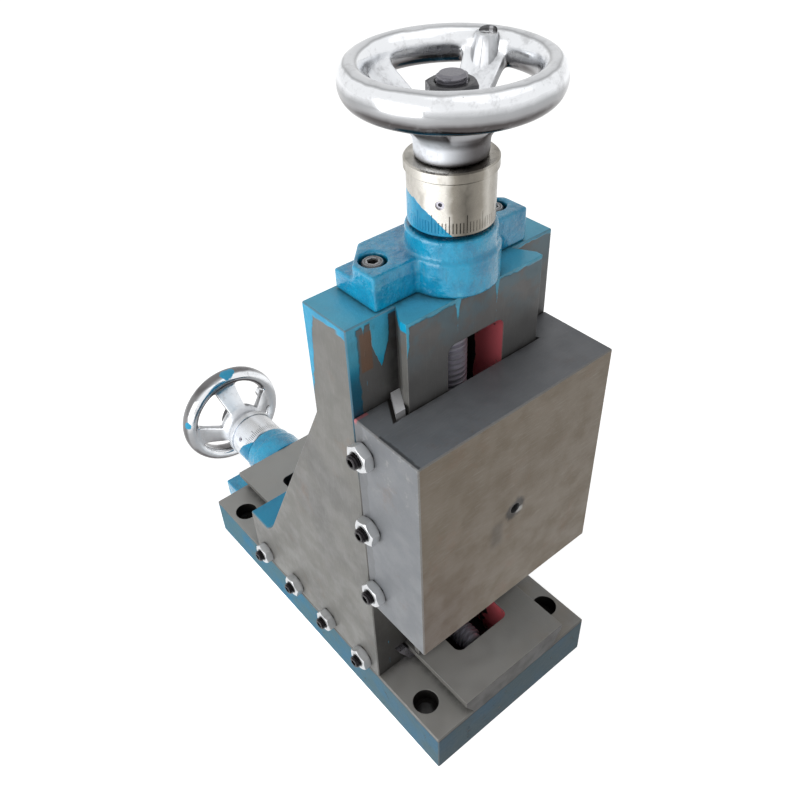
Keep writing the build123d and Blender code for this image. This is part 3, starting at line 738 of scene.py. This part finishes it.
        # Oily oval round the screw's hole, 11 mm by 8 mm, tilted up to the right
        rise, cosine, sine, long, short = coat.less(z, 224.5), 0.836, 0.549, 11, 8
        along = coat.plus(coat.scaled(x, cosine / long), coat.scaled(rise, sine / long))
        across = coat.less(coat.scaled(rise, cosine / short), coat.scaled(x, sine / short))
        oval = coat.plus(coat.length(along, across), coat.wander(5, 0.22, shift=2.9))
        coat.lay(style.grime_and_shade, 0.85, front, coat.ease(oval, 1.05, 0.6))
        chip = coat.all_of(coat.zone(blur=1.5, x=(1, 6.5)), coat.zone(blur=1.2, z=(219, 223)))
        coat.lay(style.iron_bright, 0.9, front, chip)
        coat.lay(style.primer, 0.5, coat.zone(x=(-81, -71), y=(-93, -89)), coat.ease(z, 308, 311.5))
        dark_edge = coat.zone(coat.wander(5, 0.8, shift=6.2), x=(-79.6, -77.4))
        coat.lay(style.grime_and_shade, 0.6, top, dark_edge, coat.zone(y=(-146, -112)))
        return coat.finish()


class SLIDE_OT_brackets(bpy.types.Operator):
    """Cast and paint the two bearing brackets"""

    bl_idname = "slide.brackets"
    bl_label = "Bearing brackets"

    def execute(self, context):
        paint = self.gloss_paint(context.scene.slide_settings.castings)
        skin = ("REMESH", {"mode": "VOXEL", "voxel_size": 0.8 * MM})
        soften = {"smooth_type": "LENGTH_WEIGHTED", "use_only_smooth": True, "iterations": 12, "factor": 0.5}
        for drive, body in CARRIERS.items():
            node = f"{drive}_bearing_bracket"
            casting = modified(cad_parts[node].data.copy(), skin, ("CORRECTIVE_SMOOTH", soften))
            make_piece(f"{drive}_bracket_casting", casting, paint, body, "blue_paint", node, angle=80.0)
        return {"FINISHED"}

    def gloss_paint(self, style):
        """Thick brushed paint, with runs, pale patches of painted highlight, painted shade in its corners and
        a few chips.
        """
        coat = Finish("gloss blue paint", style.paint, Coat_Weight=0.45, Coat_Roughness=0.08)
        coat.lay(style.paint_deep, 0.55, coat.patches(15, 0.4, 0.7))
        streak = coat.noise(3, stretch=(1, 1, 6), detail=4.0, shift=3.3)
        coat.lay(style.paint_worn, 0.3, coat.ease(streak, 0.6, 0.75))
        # Painted highlight: pale patches on the paint
        coat.lay(style.paint_pale, 0.4, coat.patches(10, 0.58, 0.7, roughness=0.6, shift=8.8))
        coat.lay(style.iron_dark, 1.0, coat.patches(8, 0.69, 0.72, detail=7.0, roughness=0.72, shift=5.5))
        # Painted shade in the corners
        coat.lay(style.grime_and_shade, 0.6, coat.corners(6))
        coat.bump(coat.noise(6, detail=4.0, shift=4.0), 1.6)
        coat.bump(streak, 0.12)
        return coat.done(Roughness=coat.patches(7, 0.3, 0.7, 0.16, 0.36, detail=4.0, shift=2.0))


def steel_finish(
    name, tint, rough=(0.3, 0.5), depth=0.02, grime_share=0.5, deep=0.6, dull_from=None, worn=None, metal=1.0
):
    """Bare or plated metal with fine tool marks, a little grime, and painted shade in the corners.

    rough is its least and greatest roughness, dull_from the height along Z above which it is dark and dull,
    and worn the colour of its edges.
    """
    coat = Finish(name, tint, Metallic=metal)
    marks, dark = coat.noise(0.8, detail=3.0), shade(tint, 0.3)
    coat.lay(dark, grime_share, coat.patches(9, 0.5, 0.75, detail=6.0, roughness=0.65, shift=6.0))
    if worn is not None:
        coat.lay(worn, 1.5, coat.edges(3))
    # Painted shade in the corners
    coat.lay(dark, deep, coat.corners(4))
    if dull_from is not None:
        coat.lay(dark, 0.9, coat.ease(coat.z, dull_from / MM, dull_from / MM + 1))
    coat.bump(marks, depth)
    return coat.done(Roughness=coat.ease(marks, 0.3, 0.7, *rough))


class SLIDE_OT_bearings(bpy.types.Operator):
    """Finish the bushes, washers, keys, gibs and feed nuts"""

    bl_idname = "slide.bearings"
    bl_label = "Bearings, gibs and feed nuts"

    def execute(self, context):
        hardware = context.scene.slide_settings.hardware
        steel = steel_finish("ground steel", hardware.steel, (0.25, 0.45))
        bronze = steel_finish("bronze", hardware.bronze)
        coat_nodes(self.gib(hardware), "carriage_gib")
        coat_nodes(steel, "base_gib")
        coat_nodes(steel_finish("black steel", hardware.oxide, (0.35, 0.55)), "column_feed_nut_screw")
        small = ("inner_thrust_washer", "outer_thrust_washer", "handwheel_key", "dial_set_screw")
        for drive in DRIVES:
            coat_nodes(bronze, f"{drive}_feed_nut", f"{drive}_bearing_bush")
            coat_nodes(steel, *(f"{drive}_{name}" for name in small))
        return {"FINISHED"}

    def gib(self, hardware):
        """Scraped gib: bright at its ends, oily on its faces."""
        coat = Finish("scraped gib", hardware.gib, Metallic=0.25, Specular_IOR_Level=0.5)
        marks = coat.noise(2.5, roughness=0.6)
        coat.lay(hardware.oxide, 0.5, coat.ease(marks, 0.62, 0.75))
        coat.lay(hardware.oxide, 0.6, coat.less(1.0, coat.sides("Z")))
        coat.bump(marks, 0.04)
        return coat.done(Roughness=coat.ease(marks, 0.3, 0.7, 0.3, 0.5))


def hex_nut(name, flats, height, bore):
    """Hexagon nut from Z = 0, chamfered on both faces and countersunk at its bore."""
    corner = flats / math.sqrt(3)
    flat = flats / 2 * 0.95
    drop = (corner * 1.02 - flat) * math.tan(math.radians(30))
    outer = [(0, 0), (flat, 0), (corner * 1.02, drop), (corner * 1.02, height - drop)]
    turned = lathe("turned", [*outer, (flat, height), (0, height)])
    body = carve(prism(name, corner, 0, height), turned, "INTERSECT")
    sink = 0.9 * MM
    hole = [(0, -MM), (bore + sink + MM, -MM), (bore, sink), (bore, height - sink)]
    hole += [(bore + sink + MM, height + MM), (0, height + MM)]
    return carve(body, lathe("bore", hole, 48))


class SLIDE_OT_gib_hardware(bpy.types.Operator):
    """Build the gib screws and their lock nuts"""

    bl_idname = "slide.gib_hardware"
    bl_label = "Gib screws and lock nuts"

    radius = 5 * MM
    # Each row of nuts: its name, its body, the axis it runs along, and the turn of each nut in degrees
    rows = (("base", "knee", 1, (8, 23, 41, 15)), ("carriage", "carriage", 2, (20, 47, 5)))

    def execute(self, context):
        hardware = context.scene.slide_settings.hardware
        zinc = steel_finish(
            "zinc plate", hardware.zinc, (0.3, 0.36), depth=0.003, grime_share=0.3, deep=0.55, metal=0.5
        )
        black = steel_finish("gib screw steel", hardware.oxide)
        outwards = Matrix.Rotation(math.radians(-90), 4, "Y")
        for group, body, axis, turns in self.rows:
            nut_node, screw_node = f"{group}_gib_lock_nuts", f"{group}_gib_screws"
            low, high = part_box(nut_node)
            nut = hex_nut("lock nut", hardware.lock_nut_flats, high.x - low.x, self.radius)
            screw = self.gib_screw(screw_node)
            nuts, screws = [], []
            for place, turn in zip(self.spread(screw_node, axis, len(turns)), turns):
                turned = outwards @ Matrix.Rotation(math.radians(turn), 4, "Z")
                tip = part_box(screw_node)[1].x
                nuts.append((nut, Matrix.Translation((high.x, place.y, place.z)) @ turned))
                screws.append((screw, Matrix.Translation((tip, place.y, place.z)) @ turned))
            nuts, screws = join_meshes(nut_node, nuts), join_meshes(screw_node, screws)
            make_piece(f"{group}_lock_nuts", nuts, zinc, body, "zinc_plate", nut_node)
            make_piece(f"{group}_threaded_screws", screws, black, body, "black_steel", screw_node)
        return {"FINISHED"}

    def spread(self, node, axis, count):
        """Middles of a row of equal screws along an axis, from their CAD node's box."""
        low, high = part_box(node)
        width = min(high[i] - low[i] for i in (1, 2) if i != axis)
        first, last = low[axis] + width / 2, high[axis] - width / 2
        places = []
        for i in range(count):
            place = (low + high) / 2
            place[axis] = first + (last - first) * i / (count - 1)
            places.append(place)
        return places

    def gib_screw(self, node):
        """Screw with a dog point at Z = 0, threaded outside, with a hexagon socket in its end."""
        low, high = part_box(node)
        length = high.x - low.x
        depth, lead, edge = 0.75 * MM, 1.5 * MM, 0.5 * MM
        core = self.radius - depth
        threaded = length - 16 * MM
        dog = [(0, 0), (2.8 * MM, 0), (3 * MM, MM), (core, 3 * MM), (core, threaded), (0, threaded)]
        end = [(0, threaded), (core, threaded), (core, length - edge), (core - edge, length), (0, length)]
        socket = prism("socket", 2.9 * MM, length - 4 * MM, length + MM)
        outer = thread("thread", self.radius, depth, lead, threaded, length - 0.8 * MM)
        rod = carve(carve(outer, lathe("end", end, 40), "UNION"), socket)
        return join_meshes("gib screw", [(lathe("shank", dog, 40), Matrix()), (rod, Matrix())])


class SLIDE_OT_cap_screws(bpy.types.Operator):
    """Build the socket head screws of the brackets and the feed nut"""

    bl_idname = "slide.cap_screws"
    bl_label = "Socket head screws"

    head_radius = 6.5 * MM
    head_height = 8 * MM
    shank_radius = 4 * MM
    socket_flats = 6 * MM
    socket_depth = 4 * MM

    def execute(self, context):
        hardware = context.scene.slide_settings.hardware
        oxide = steel_finish("black oxide", hardware.oxide, worn=hardware.zinc, deep=0.9, metal=0.6)
        rows = [
            (f"{drive}_socket_screws", f"{drive}_bracket_screws", body, DRIVES[drive])
            for drive, body in CARRIERS.items()
        ]
        rows.append(("feed_nut_socket_screws", "base_feed_nut_screws", "knee", Matrix()))
        for name, node, body, stand in rows:
            low, high = box_in(stand, node)
            screw = self.cap_screw(high.z - low.z)
            reach = (high.x - low.x) / 2 - self.head_radius
            places = [(side * reach, (low.y + high.y) / 2, low.z) for side in (-1, 1)]
            pair = join_meshes(name, [(screw, Matrix.Translation(place)) for place in places])
            make_piece(name, pair, oxide, body, "black_steel", node, angle=28.0, stand=stand)
        return {"FINISHED"}

    def cap_screw(self, length):
        """Socket head screw with its tip at Z = 0 and a knurled head."""
        under = length - self.head_height
        knurl = 0.22 * MM
        wide, top = self.head_radius, length
        profile = [
            (0, under),
            (wide - 0.4 * MM, under),
            (wide, under + 0.4 * MM),
            (wide, top - 1.6 * MM),
            (wide - 0.3 * MM, top - 1.3 * MM),
            (wide - 0.3 * MM, top - 0.7 * MM),
            (wide - 1.0 * MM, top),
            (0, top),
        ]
        head = lathe("head", profile, 96, lambda ring, step: knurl * (step % 2) if ring in (2, 3) else 0.0)
        socket = prism("socket", self.socket_flats / math.sqrt(3), top - self.socket_depth, top + MM)
        shank = thread("shank", self.shank_radius, 0.7 * MM, 1.25 * MM, 0.0, under, 24)
        return join_meshes("cap screw", [(carve(head, socket), Matrix()), (shank, Matrix())])


class SLIDE_OT_lead_screws(bpy.types.Operator):
    """Cut the lead screws: trapezoidal thread, thrust collar, journal, wheel seat and stud end"""

    bl_idname = "slide.lead_screws"
    bl_label = "Lead screws"

    def execute(self, context):
        hardware = context.scene.slide_settings.hardware
        steel = steel_finish(
            "screw steel", hardware.steel, grime_share=0.2, deep=0.0, dull_from=HUB_END, metal=0.6
        )
        for drive, stand in DRIVES.items():
            screw = self.lead_screw(hardware, *drive_span("lead_screw", drive))
            name, body, node = f"{drive}_threaded_screw", f"{drive}_drive", f"{drive}_lead_screw"
            make_piece(name, screw, steel, body, "bright_steel", node, angle=20.0, stand=stand)
        return {"FINISHED"}

    def lead_screw(self, hardware, start, end):
        """Lead screw along Z, made from its far end outwards."""
        collar_start, collar_end, collar = 0.3 * MM, 6 * MM, 14 * MM
        journal, seat, stud = 9.5 * MM, 9 * MM, 8 * MM
        nib, edge, screw_radius = 3 * MM, 0.5 * MM, 10 * MM
        shaft = [
            (0, collar_start),
            (collar - edge, collar_start),
            (collar, collar_start + edge),
            (collar, collar_end - edge),
            (collar - edge, collar_end),
            (journal, collar_end),
            (journal, DIAL_END),
            (seat, DIAL_END),
            (seat, HUB_END - 0.2 * MM),
            (stud - 1.0 * MM, HUB_END),
            (0, HUB_END),
        ]
        slot = [corner.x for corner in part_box("column_handwheel_key")]
        keyway = bar("keyway", slot, (-2.5 * MM, 2.5 * MM), drive_span("handwheel_key"))
        lead, depth = hardware.thread_lead, hardware.thread_depth
        worm = thread("worm", screw_radius, depth, lead, start + nib, collar_start)
        tip, core = screw_radius - depth, stud - 1.0 * MM
        far = [(0, start), (tip - MM, start), (tip, start + MM), (tip, start + nib), (0, start + nib)]
        bolt = thread("bolt", stud, 1.0 * MM, 2 * MM, HUB_END, end - MM)
        nose = [(0, end - MM), (core, end - MM), (core - 0.8 * MM, end), (0, end)]
        parts = (carve(lathe("shaft", shaft), keyway), worm, lathe("far end", far), bolt, lathe("nose", nose))
        return join_meshes("lead screw", [(mesh, Matrix()) for mesh in parts])


class SLIDE_OT_dials(bpy.types.Operator):
    """Turn the graduated dials"""

    bl_idname = "slide.dials"
    bl_label = "Dials"

    def execute(self, context):
        settings = context.scene.slide_settings
        for drive, stand in DRIVES.items():
            dial = self.dial(settings.wheels.divisions)
            finish = self.finish(drive, settings.wheels, settings.castings)
            name, body = f"{drive}_graduated_dial", f"{drive}_drive"
            make_piece(name, dial, finish, body, "polished_chrome", f"{drive}_dial", stand=stand)
        return {"FINISHED"}

    def dial(self, divisions):
        """Collar with a flange, engraved at its lower edge."""
        low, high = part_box("column_dial")
        flange = (high.x - low.x) / 2
        body, flange_height, bore, edge = 24.2 * MM, 6 * MM, 9.6 * MM, 0.8 * MM
        start, end = DIAL_START, DIAL_END
        marks = [start + rise * MM for rise in (2, 2.2, 8, 8.2, 12, 12.2)]
        under = end - flange_height
        profile = [(bore, start), (body - edge, start), (body, start + edge)]
        profile += [(body, z) for z in marks]
        profile += [
            (body, under - 0.6 * MM),
            (body - 0.5 * MM, under - 0.4 * MM),
            (body - 0.5 * MM, under),
            (flange - 0.4 * MM, under),
            (flange, under + 0.4 * MM),
            (flange, end - edge),
            (flange - edge, end),
            (bore, end),
        ]
        per_mark, depth = 6, 0.35 * MM

        def relief(ring, step):
            mark, side = divmod(step, per_mark)
            engraved = ring in (4, 5) or (mark % 5 == 0 and ring in (6, 7))
            return depth if engraved and side == 0 else 0.0

        mesh = lathe("dial", profile, divisions * per_mark, relief)
        drill = Matrix.Translation((0, 0, (start + end) / 2)) @ Matrix.Rotation(math.radians(-147), 4, "Z")
        hole = prism("hole", 2.5 * MM, 8 * MM, 30 * MM, 32)
        return carve(mesh, moved(hole, drill @ Matrix.Rotation(math.radians(90), 4, "Y")))

    def finish(self, drive, wheels, castings):
        """Satin steel with painted reflection, dim on one side and bright on the other, with dim blotches,
        blue where the bracket's brush went over it.
        """
        bright, dim_steel = wheels.dial_steel, wheels.dial_shade_and_blotch
        if drive == "base":
            bright = wheels.hub_steel
            dim_steel = blend(bright, dim_steel)
        half, dark = blend(bright, dim_steel), shade(dim_steel, 0.45)
        third, middle = (dark, dim_steel) if drive == "column" else (half, bright)
        coat = Finish(f"{drive} dial steel", bright, Metallic=1.0)
        rings = coat.noise(0.5, stretch=(30, 30, 1), detail=3.0)
        blotch = coat.noise(9, stretch=(1, 1, 2), detail=6.0, roughness=0.65, shift=2.0)
        # Painted reflection across the dial, from dim to bright
        coat.tint = coat.ramp(
            coat.ease(coat.plus(coat.across(), coat.wander(12, 1.5)), -25, 25),
            (0.0, dim_steel),
            (0.05, half),
            (0.12, dim_steel),
            (0.3, third),
            (0.5, middle),
            (0.62, bright),
            (0.9, bright),
            (1.0, half),
        )
        coat.lay(dim_steel, 0.5, coat.ease(blotch, 0.5, 0.72))
        start = DIAL_START / MM
        marks = coat.zone(blur=0.1, z=(start + 1.9, start + 12.4))
        coat.lay(castings.grime_and_shade, 0.6, coat.within(coat.from_axis(), 23, 24.08, blur=0.03), marks)
        brushed = coat.ease(coat.across(), -6, 24, start - 1, start + 19)
        brushed = coat.less(brushed, coat.plus(coat.z, coat.wander(6, 1.0, shift=3.0)))
        painted = coat.ease(brushed, 0.0, 0.6)
        blue = coat.mix(coat.ease(blotch, 0.4, 0.6, 0.1, 0.6), castings.paint, castings.paint_deep)
        coat.lay(blue, 1.0, painted)
        coat.bump(rings, 0.02)
        coat.bump(painted, 0.2)
        return coat.done(Metallic=coat.less(1.0, painted), Roughness=coat.ease(blotch, 0.3, 0.7, 0.2, 0.4))


class SLIDE_OT_handwheels(bpy.types.Operator):
    """Cast the handwheels, with their washers and nuts"""

    bl_idname = "slide.handwheels"
    bl_label = "Handwheels"

    spokes = 4
    per_spoke = 10
    first_angles = {"column": 23.0, "base": -5.0}
    # Middle and reach of each splash of paint on the base's handwheel, in millimetres
    splashes = (((2.5, -56, 107.4), 7.5), ((9.0, -55.7, 109), 4.5), ((-52.8, -16, 105.8), 4.5))

    def execute(self, context):
        settings = context.scene.slide_settings
        wheels = settings.wheels
        nut_steel = steel_finish("wheel nut steel", settings.castings.iron_dark, (0.25, 0.5))
        steel = steel_finish("washer steel", settings.hardware.steel, (0.25, 0.5))
        nut = hex_nut("wheel nut", settings.hardware.wheel_nut_flats, NUT_END - NUT_START, 8 * MM)
        nut = moved(nut, Matrix.Translation((0, 0, NUT_START)))
        wheel = self.wheel(wheels)
        for drive, stand in DRIVES.items():
            turned = moved(wheel.copy(), Matrix.Rotation(math.radians(self.first_angles[drive]), 4, "Z"))
            plate = self.plate(drive, wheels, settings.castings)
            for name, mesh, finish, slot, part, angle in (
                ("cast_wheel", turned, plate, "polished_chrome", "handwheel", 50.0),
                ("wheel_nut", nut.copy(), nut_steel, "black_steel", "handwheel_nut", 25.0),
            ):
                name, body, node = f"{drive}_{name}", f"{drive}_drive", f"{drive}_{part}"
                make_piece(name, mesh, finish, body, slot, node, angle=angle, stand=stand)
            coat_nodes(steel, f"{drive}_handwheel_washer")
        return {"FINISHED"}

    def wheel(self, wheels):
        """Hub, coned web with a window between the spokes, and an oval rim, as one smooth skin."""
        rim, half_width, half_depth = wheels.rim_radius, wheels.rim_width / 2, wheels.rim_depth / 2
        middle = WHEEL_END - half_depth
        fit = 1 / 0.962  # The smooth skin lies this share of its cage's size from the middle
        hub, hub_top, bore = 20 * MM, 17 * MM, 9.05 * MM
        web_in, web_out = 23 * MM, 41.5 * MM
        web_top = HUB_END - 10 * MM

        # Heights of the web's top and bottom at a radius, and a point of the rim's oval section
        def upper(r):
            return web_top + 0.84 * (r - hub_top)

        def lower(r):
            return web_top - 5.5 * MM + 0.925 * (r - hub)

        def section(degrees):
            angle = math.radians(degrees)
            return rim + half_width * fit * math.cos(angle), middle + half_depth * fit * math.sin(angle)

        # Each row of the cage is a radius, a height, and how far it is drawn in to the spokes
        inner = [web_in, web_in + 1.5 * MM, 32 * MM, web_out - 1.8 * MM]
        rows = [(bore, HUB_END - MM, 0), (bore + 0.8 * MM, HUB_END, 0), (hub_top - 1.2 * MM, HUB_END, 0)]
        rows += [(hub_top, HUB_END - MM, 0), (hub_top + 0.3 * MM, web_top + 3 * MM, 0)]
        rows += [(hub_top + 1.8 * MM, upper(hub_top + 1.8 * MM) + 0.9 * MM, 0)]
        first = len(rows)
        rows += [(r, upper(r), 1) for r in inner] + [(*section(178), 1)]
        last = len(rows) - 1
        rows += [(*section(angle), 0.5 if angle in (150, -102) else 0) for angle in range(150, -103, -28)]
        back = len(rows)
        rows += [(*section(-130), 1)] + [(r, lower(r), 1) for r in reversed(inner)]
        back_end = len(rows) - 1
        rows += [(hub + 0.4 * MM, lower(hub + 0.4 * MM) - 1.2 * MM, 0), (hub, lower(hub) - 4 * MM, 0)]
        rows += [(hub, DIAL_END + 1.2 * MM, 0), (hub - MM, DIAL_END, 0), (bore + MM, DIAL_END, 0)]
        rows += [(bore, DIAL_END + MM, 0)]
        columns = self.spokes * self.per_spoke
        points, grid = [], []
        swell = 3 / (2 + math.cos(math.tau / columns))
        for radius, height, web in rows:
            ring = []
            for column in range(columns):
                angle = self.column_angle(column, radius, web)
                r = radius * (swell if radius > bore * 1.2 else 1.0)
                ring.append(len(points))
                points.append((r * math.cos(angle), r * math.sin(angle), height))
            grid.append(ring)
        faces = []
        for row, ring in enumerate(grid):
            after_ring = grid[(row + 1) % len(rows)]
            in_web = first <= row < last or back <= row < back_end
            for column in range(columns):
                after = (column + 1) % columns
                if not (in_web and 3 <= column % self.per_spoke < self.per_spoke - 3):
                    faces.append((ring[column], ring[after], after_ring[after], after_ring[column]))
        # Walls of the windows, with a middle row between the web's top and bottom
        pairs = {last - i: back + i for i in range(last - first + 1)}
        for sector in range(self.spokes):
            edge = [sector * self.per_spoke + i for i in range(3, self.per_spoke - 2)]
            loop = [(first, c) for c in edge] + [(row, edge[-1]) for row in range(first + 1, last)]
            loop += [(last, c) for c in reversed(edge)]
            loop += [(row, edge[0]) for row in range(last - 1, first, -1)]
            walls = []
            for row, column in loop:
                top, bottom = grid[row][column], grid[pairs[row]][column]
                halfway = (Vector(points[top]) + Vector(points[bottom])) / 2
                if row == last:
                    r, z = section(204)
                    halfway = Vector((*(halfway.xy.normalized() * r * swell), z))
                walls.append((top, len(points), bottom))
                points.append(tuple(halfway))
            for wall, following in zip(walls, walls[1:] + walls[:1]):
                for i in (0, 1):
                    faces.append((wall[i], following[i], following[i + 1], wall[i + 1]))
        skin = ("SUBSURF", {"levels": 2, "render_levels": 2})
        mesh = modified(new_mesh("wheel", points, faces), skin)
        # Boss for a handle at the end of the first spoke, with a centre mark in its flat end
        pad, pad_radius, at = WHEEL_END - 2 * MM, 5.4 * MM, Matrix.Translation((rim - 5.9 * MM, 0, 0))
        foot, mark, over = 2.5 * MM, 0.9 * MM, WHEEL_END + MM
        cone = [(0, 0), (pad_radius + 3.6 * MM, 0), (pad_radius + 0.8 * MM, pad), (0, pad)]
        boss = moved(lathe("boss", cone, 48), at)
        for vertex in boss.vertices:
            if vertex.co.z < MM:
                vertex.co.z = upper(vertex.co.x) - foot
        face = [(0, pad - mark), (mark, pad), (pad_radius, pad), (pad_radius, over), (0, over)]
        return carve(carve(mesh, boss, "UNION"), moved(lathe("cutter", face, 48), at))

    def column_angle(self, column, radius, web):
        """Angle of a cage column, drawn in to the spoke's edges where the web's share is 1."""
        sector, step = divmod(column, self.per_spoke)
        mirrored = step > self.per_spoke / 2
        step = self.per_spoke - step if mirrored else step
        quarter = math.tau / self.spokes
        even = quarter * step / self.per_spoke
        width = 13 * MM + 0.239 * radius
        edge = math.asin(min(0.9, width / 2 / max(radius, 12 * MM)))
        drawn = (0.0, 0.45 * edge, edge - 1.4 * MM / radius, edge, (edge + quarter / 2) / 2, quarter / 2)
        angle = even + (drawn[step] - even) * web
        return sector * quarter + (quarter - angle if mirrored else angle)

    def plate(self, drive, wheels, castings):
        """Polished plate with painted reflection, pale on faces that look up and dark on faces that look
        down, a hub painted lit on one side, painted shade in its corners, a painted dark rim edge on the
        base's wheel, and a few splashes of blue paint.
        """
        bright, dark = wheels.plate, wheels.plate_dark
        pale, middling, grey = shade(bright, 0.7), shade(bright, 0.42), blend(bright, dark, 0.7)
        coat = Finish(f"{drive} wheel plate", bright, Metallic=1.0)
        # Painted reflection: the tint runs from dark on faces that look down to bright on faces that look up
        up = coat.plus(coat.facing["Z"], coat.wander(18, 0.06, shift=1.5))
        coat.tint = coat.ramp(
            coat.ease(up, -1.0, 1.0),
            (0.0, dark),
            (0.26, dark),
            (0.4, grey),
            (0.54, middling),
            (0.64, pale),
            (0.73, bright),
            (0.962, bright),
            (0.988, middling),
            (1.0, pale),
        )
        # Painted light on the hub under the web: lit on one side, dark on the other
        lit = coat.ease(coat.across(), -12, 10, 0.0 if drive == "column" else 0.6, 1.0)
        coat.lay(coat.mix(lit, dark, wheels.hub_steel), 0.85, coat.ease(coat.z, 90, 84))
        smear = coat.noise(11, detail=7.0, roughness=0.7, shift=2.4)
        coat.lay(grey, 0.4, coat.ease(smear, 0.5, 0.68))
        # Painted shade in the corners
        coat.lay(dark, 0.8, coat.corners(9))
        coat.lay(dark, 0.5, coat.patches(1.8, 0.7, 0.76, shift=7.0))
        if drive == "base":
            # Painted reflection: dark on the rim's outward faces
            outward = coat.vector("NORMALIZE", coat.vector("MULTIPLY", coat.place, (1, 1, 0)))
            normal = coat.add("ShaderNodeTexCoord").outputs["Normal"]
            tilt = coat.size(coat.vector("DOT_PRODUCT", normal, outward))
            coat.lay(dark, 0.8, coat.ease(tilt, 0.8, 0.98), coat.ease(coat.z, 98, 101))
            ragged = coat.wander(6, 1.2, shift=9.5)
            splash = coat.any_of(*(coat.near(point, reach, ragged) for point, reach in self.splashes))
            coat.lay(castings.paint, 1.0, splash)
            coat.feed(Metallic=coat.less(1.0, splash))
        coat.bump(coat.noise(5, detail=4.0, shift=6.6), 0.06)
        cast = coat.ease(coat.from_axis(), 43, 40, 0.0, 0.28)
        return coat.done(Roughness=coat.plus(cast, coat.ease(smear, 0.3, 0.75, 0.1, 0.28)))


class SLIDE_OT_stage(bpy.types.Operator):
    """Set up the camera, floor and light"""

    bl_idname = "slide.stage"
    bl_label = "Stage"

    def execute(self, context):
        stage = context.scene.slide_settings.stage
        self.camera(context)
        self.floor(stage)
        self.sky(context, stage)
        self.lamp("key lamp", stage.key_power, 1.4, (-1.7, 0.0, 0.45))
        self.lamp("fill lamp", stage.fill_power, 1.6, (0.2, -0.6, 1.7))
        return {"FINISHED"}

    def camera(self, context):
        """Camera where the photograph was taken from."""
        data = bpy.data.cameras.new("camera")
        data.lens = 36.94
        data.sensor_width = 36.0
        camera = new_object("camera", data)
        right = Vector((0.76732526, -0.64013876, -0.03787244))
        up = Vector((0.43713524, 0.47894936, 0.7612633))
        back = -Vector((0.46917452, 0.60069117, -0.64733715))
        turn = Matrix((right, up, back)).transposed().to_4x4()
        camera.matrix_world = Matrix.Translation((-0.2750658, -0.3841715, 0.6231411)) @ turn
        context.scene.camera = camera

    def floor(self, stage):
        """Pale floor, and a plinth that carries the base clear of it."""
        material = bpy.data.materials.new("pale floor")
        wiring = Wiring(material)
        wiring.tree.nodes.clear()
        plain = wiring.add("ShaderNodeBsdfDiffuse", {"Color": stage.floor}).outputs[0]
        glow = wiring.add("ShaderNodeEmission", {"Strength": 0.72}).outputs[0]
        both = wiring.add("ShaderNodeAddShader", {0: plain, 1: glow}).outputs[0]
        shader = wiring.add("ShaderNodeMixShader", {0: wiring.seen_directly(), 1: plain, 2: both}).outputs[0]
        wiring.add("ShaderNodeOutputMaterial", {0: shader})
        low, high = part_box("base_slide")
        drop, reach, inset = -stage.floor_drop, 12.0, stage.plinth_inset
        corners = [(-reach, -reach, drop), (reach, -reach, drop), (reach, reach, drop), (-reach, reach, drop)]
        floor = new_mesh("floor", corners, [(0, 1, 2, 3)])
        sides = [(low[axis] + inset, high[axis] - inset) for axis in (0, 1)]
        for mesh in (floor, bar("plinth", *sides, (drop, low.z))):
            mesh.materials.append(material)
            new_object(mesh.name, mesh)

    def sky(self, context, stage):
        """White surroundings, softer on the object than they look."""
        world = bpy.data.worlds.new("studio")
        wiring = Wiring(world)
        ground = wiring.tree.nodes["Background"]
        share = {"Value": wiring.seen_directly(), "To Min": stage.sky, "To Max": 1.0}
        wiring.put(ground.inputs["Color"], (1, 1, 1, 1))
        wiring.put(ground.inputs["Strength"], wiring.add("ShaderNodeMapRange", share).outputs[0])
        context.scene.world = world
        context.scene.view_settings.view_transform = "Standard"

    def lamp(self, name, power, size, place):
        """Square soft lamp that faces the slide."""
        data = bpy.data.lights.new(name, "AREA")
        data.energy = power
        data.size = size
        aim = Vector((0, 0, 0.2)) - Vector(place)
        turn = aim.to_track_quat("-Z", "Y").to_matrix().to_4x4()
        new_object(name, data).matrix_world = Matrix.Translation(place) @ turn


class SLIDE_PT_panel(bpy.types.Panel):
    """Lists the slide's operators and settings"""

    bl_idname = "SLIDE_PT_panel"
    bl_label = "Dovetail Slide"
    bl_space_type = "VIEW_3D"
    bl_region_type = "UI"
    bl_category = "Dovetail Slide"

    def draw(self, context):
        settings = context.scene.slide_settings
        for operator in OPERATORS:
            self.layout.operator(operator.bl_idname)
        for group in (settings.castings, settings.hardware, settings.wheels, settings.stage):
            column = self.layout.column()
            for name in group.bl_rna.properties.keys():
                if name not in ("rna_type", "name"):
                    column.prop(group, name)


OPERATORS = (
    SLIDE_OT_stage,
    SLIDE_OT_castings,
    SLIDE_OT_brackets,
    SLIDE_OT_bearings,
    SLIDE_OT_gib_hardware,
    SLIDE_OT_cap_screws,
    SLIDE_OT_lead_screws,
    SLIDE_OT_dials,
    SLIDE_OT_handwheels,
)
SETTINGS = (CastingSettings, HardwareSettings, WheelSettings, StageSettings, SlideSettings)
CLASSES = (*SETTINGS, *OPERATORS, SLIDE_PT_panel)


def register():
    for kind in CLASSES:
        bpy.utils.register_class(kind)
    bpy.types.Scene.slide_settings = PointerProperty(type=SlideSettings)


def unregister():
    del bpy.types.Scene.slide_settings
    for kind in reversed(CLASSES):
        bpy.utils.unregister_class(kind)


def main():
    """Build everything in order."""
    register()
    for operator in OPERATORS:
        group, name = operator.bl_idname.split(".")
        getattr(getattr(bpy.ops, group), name)()


if __name__ == "__main__":
    main()
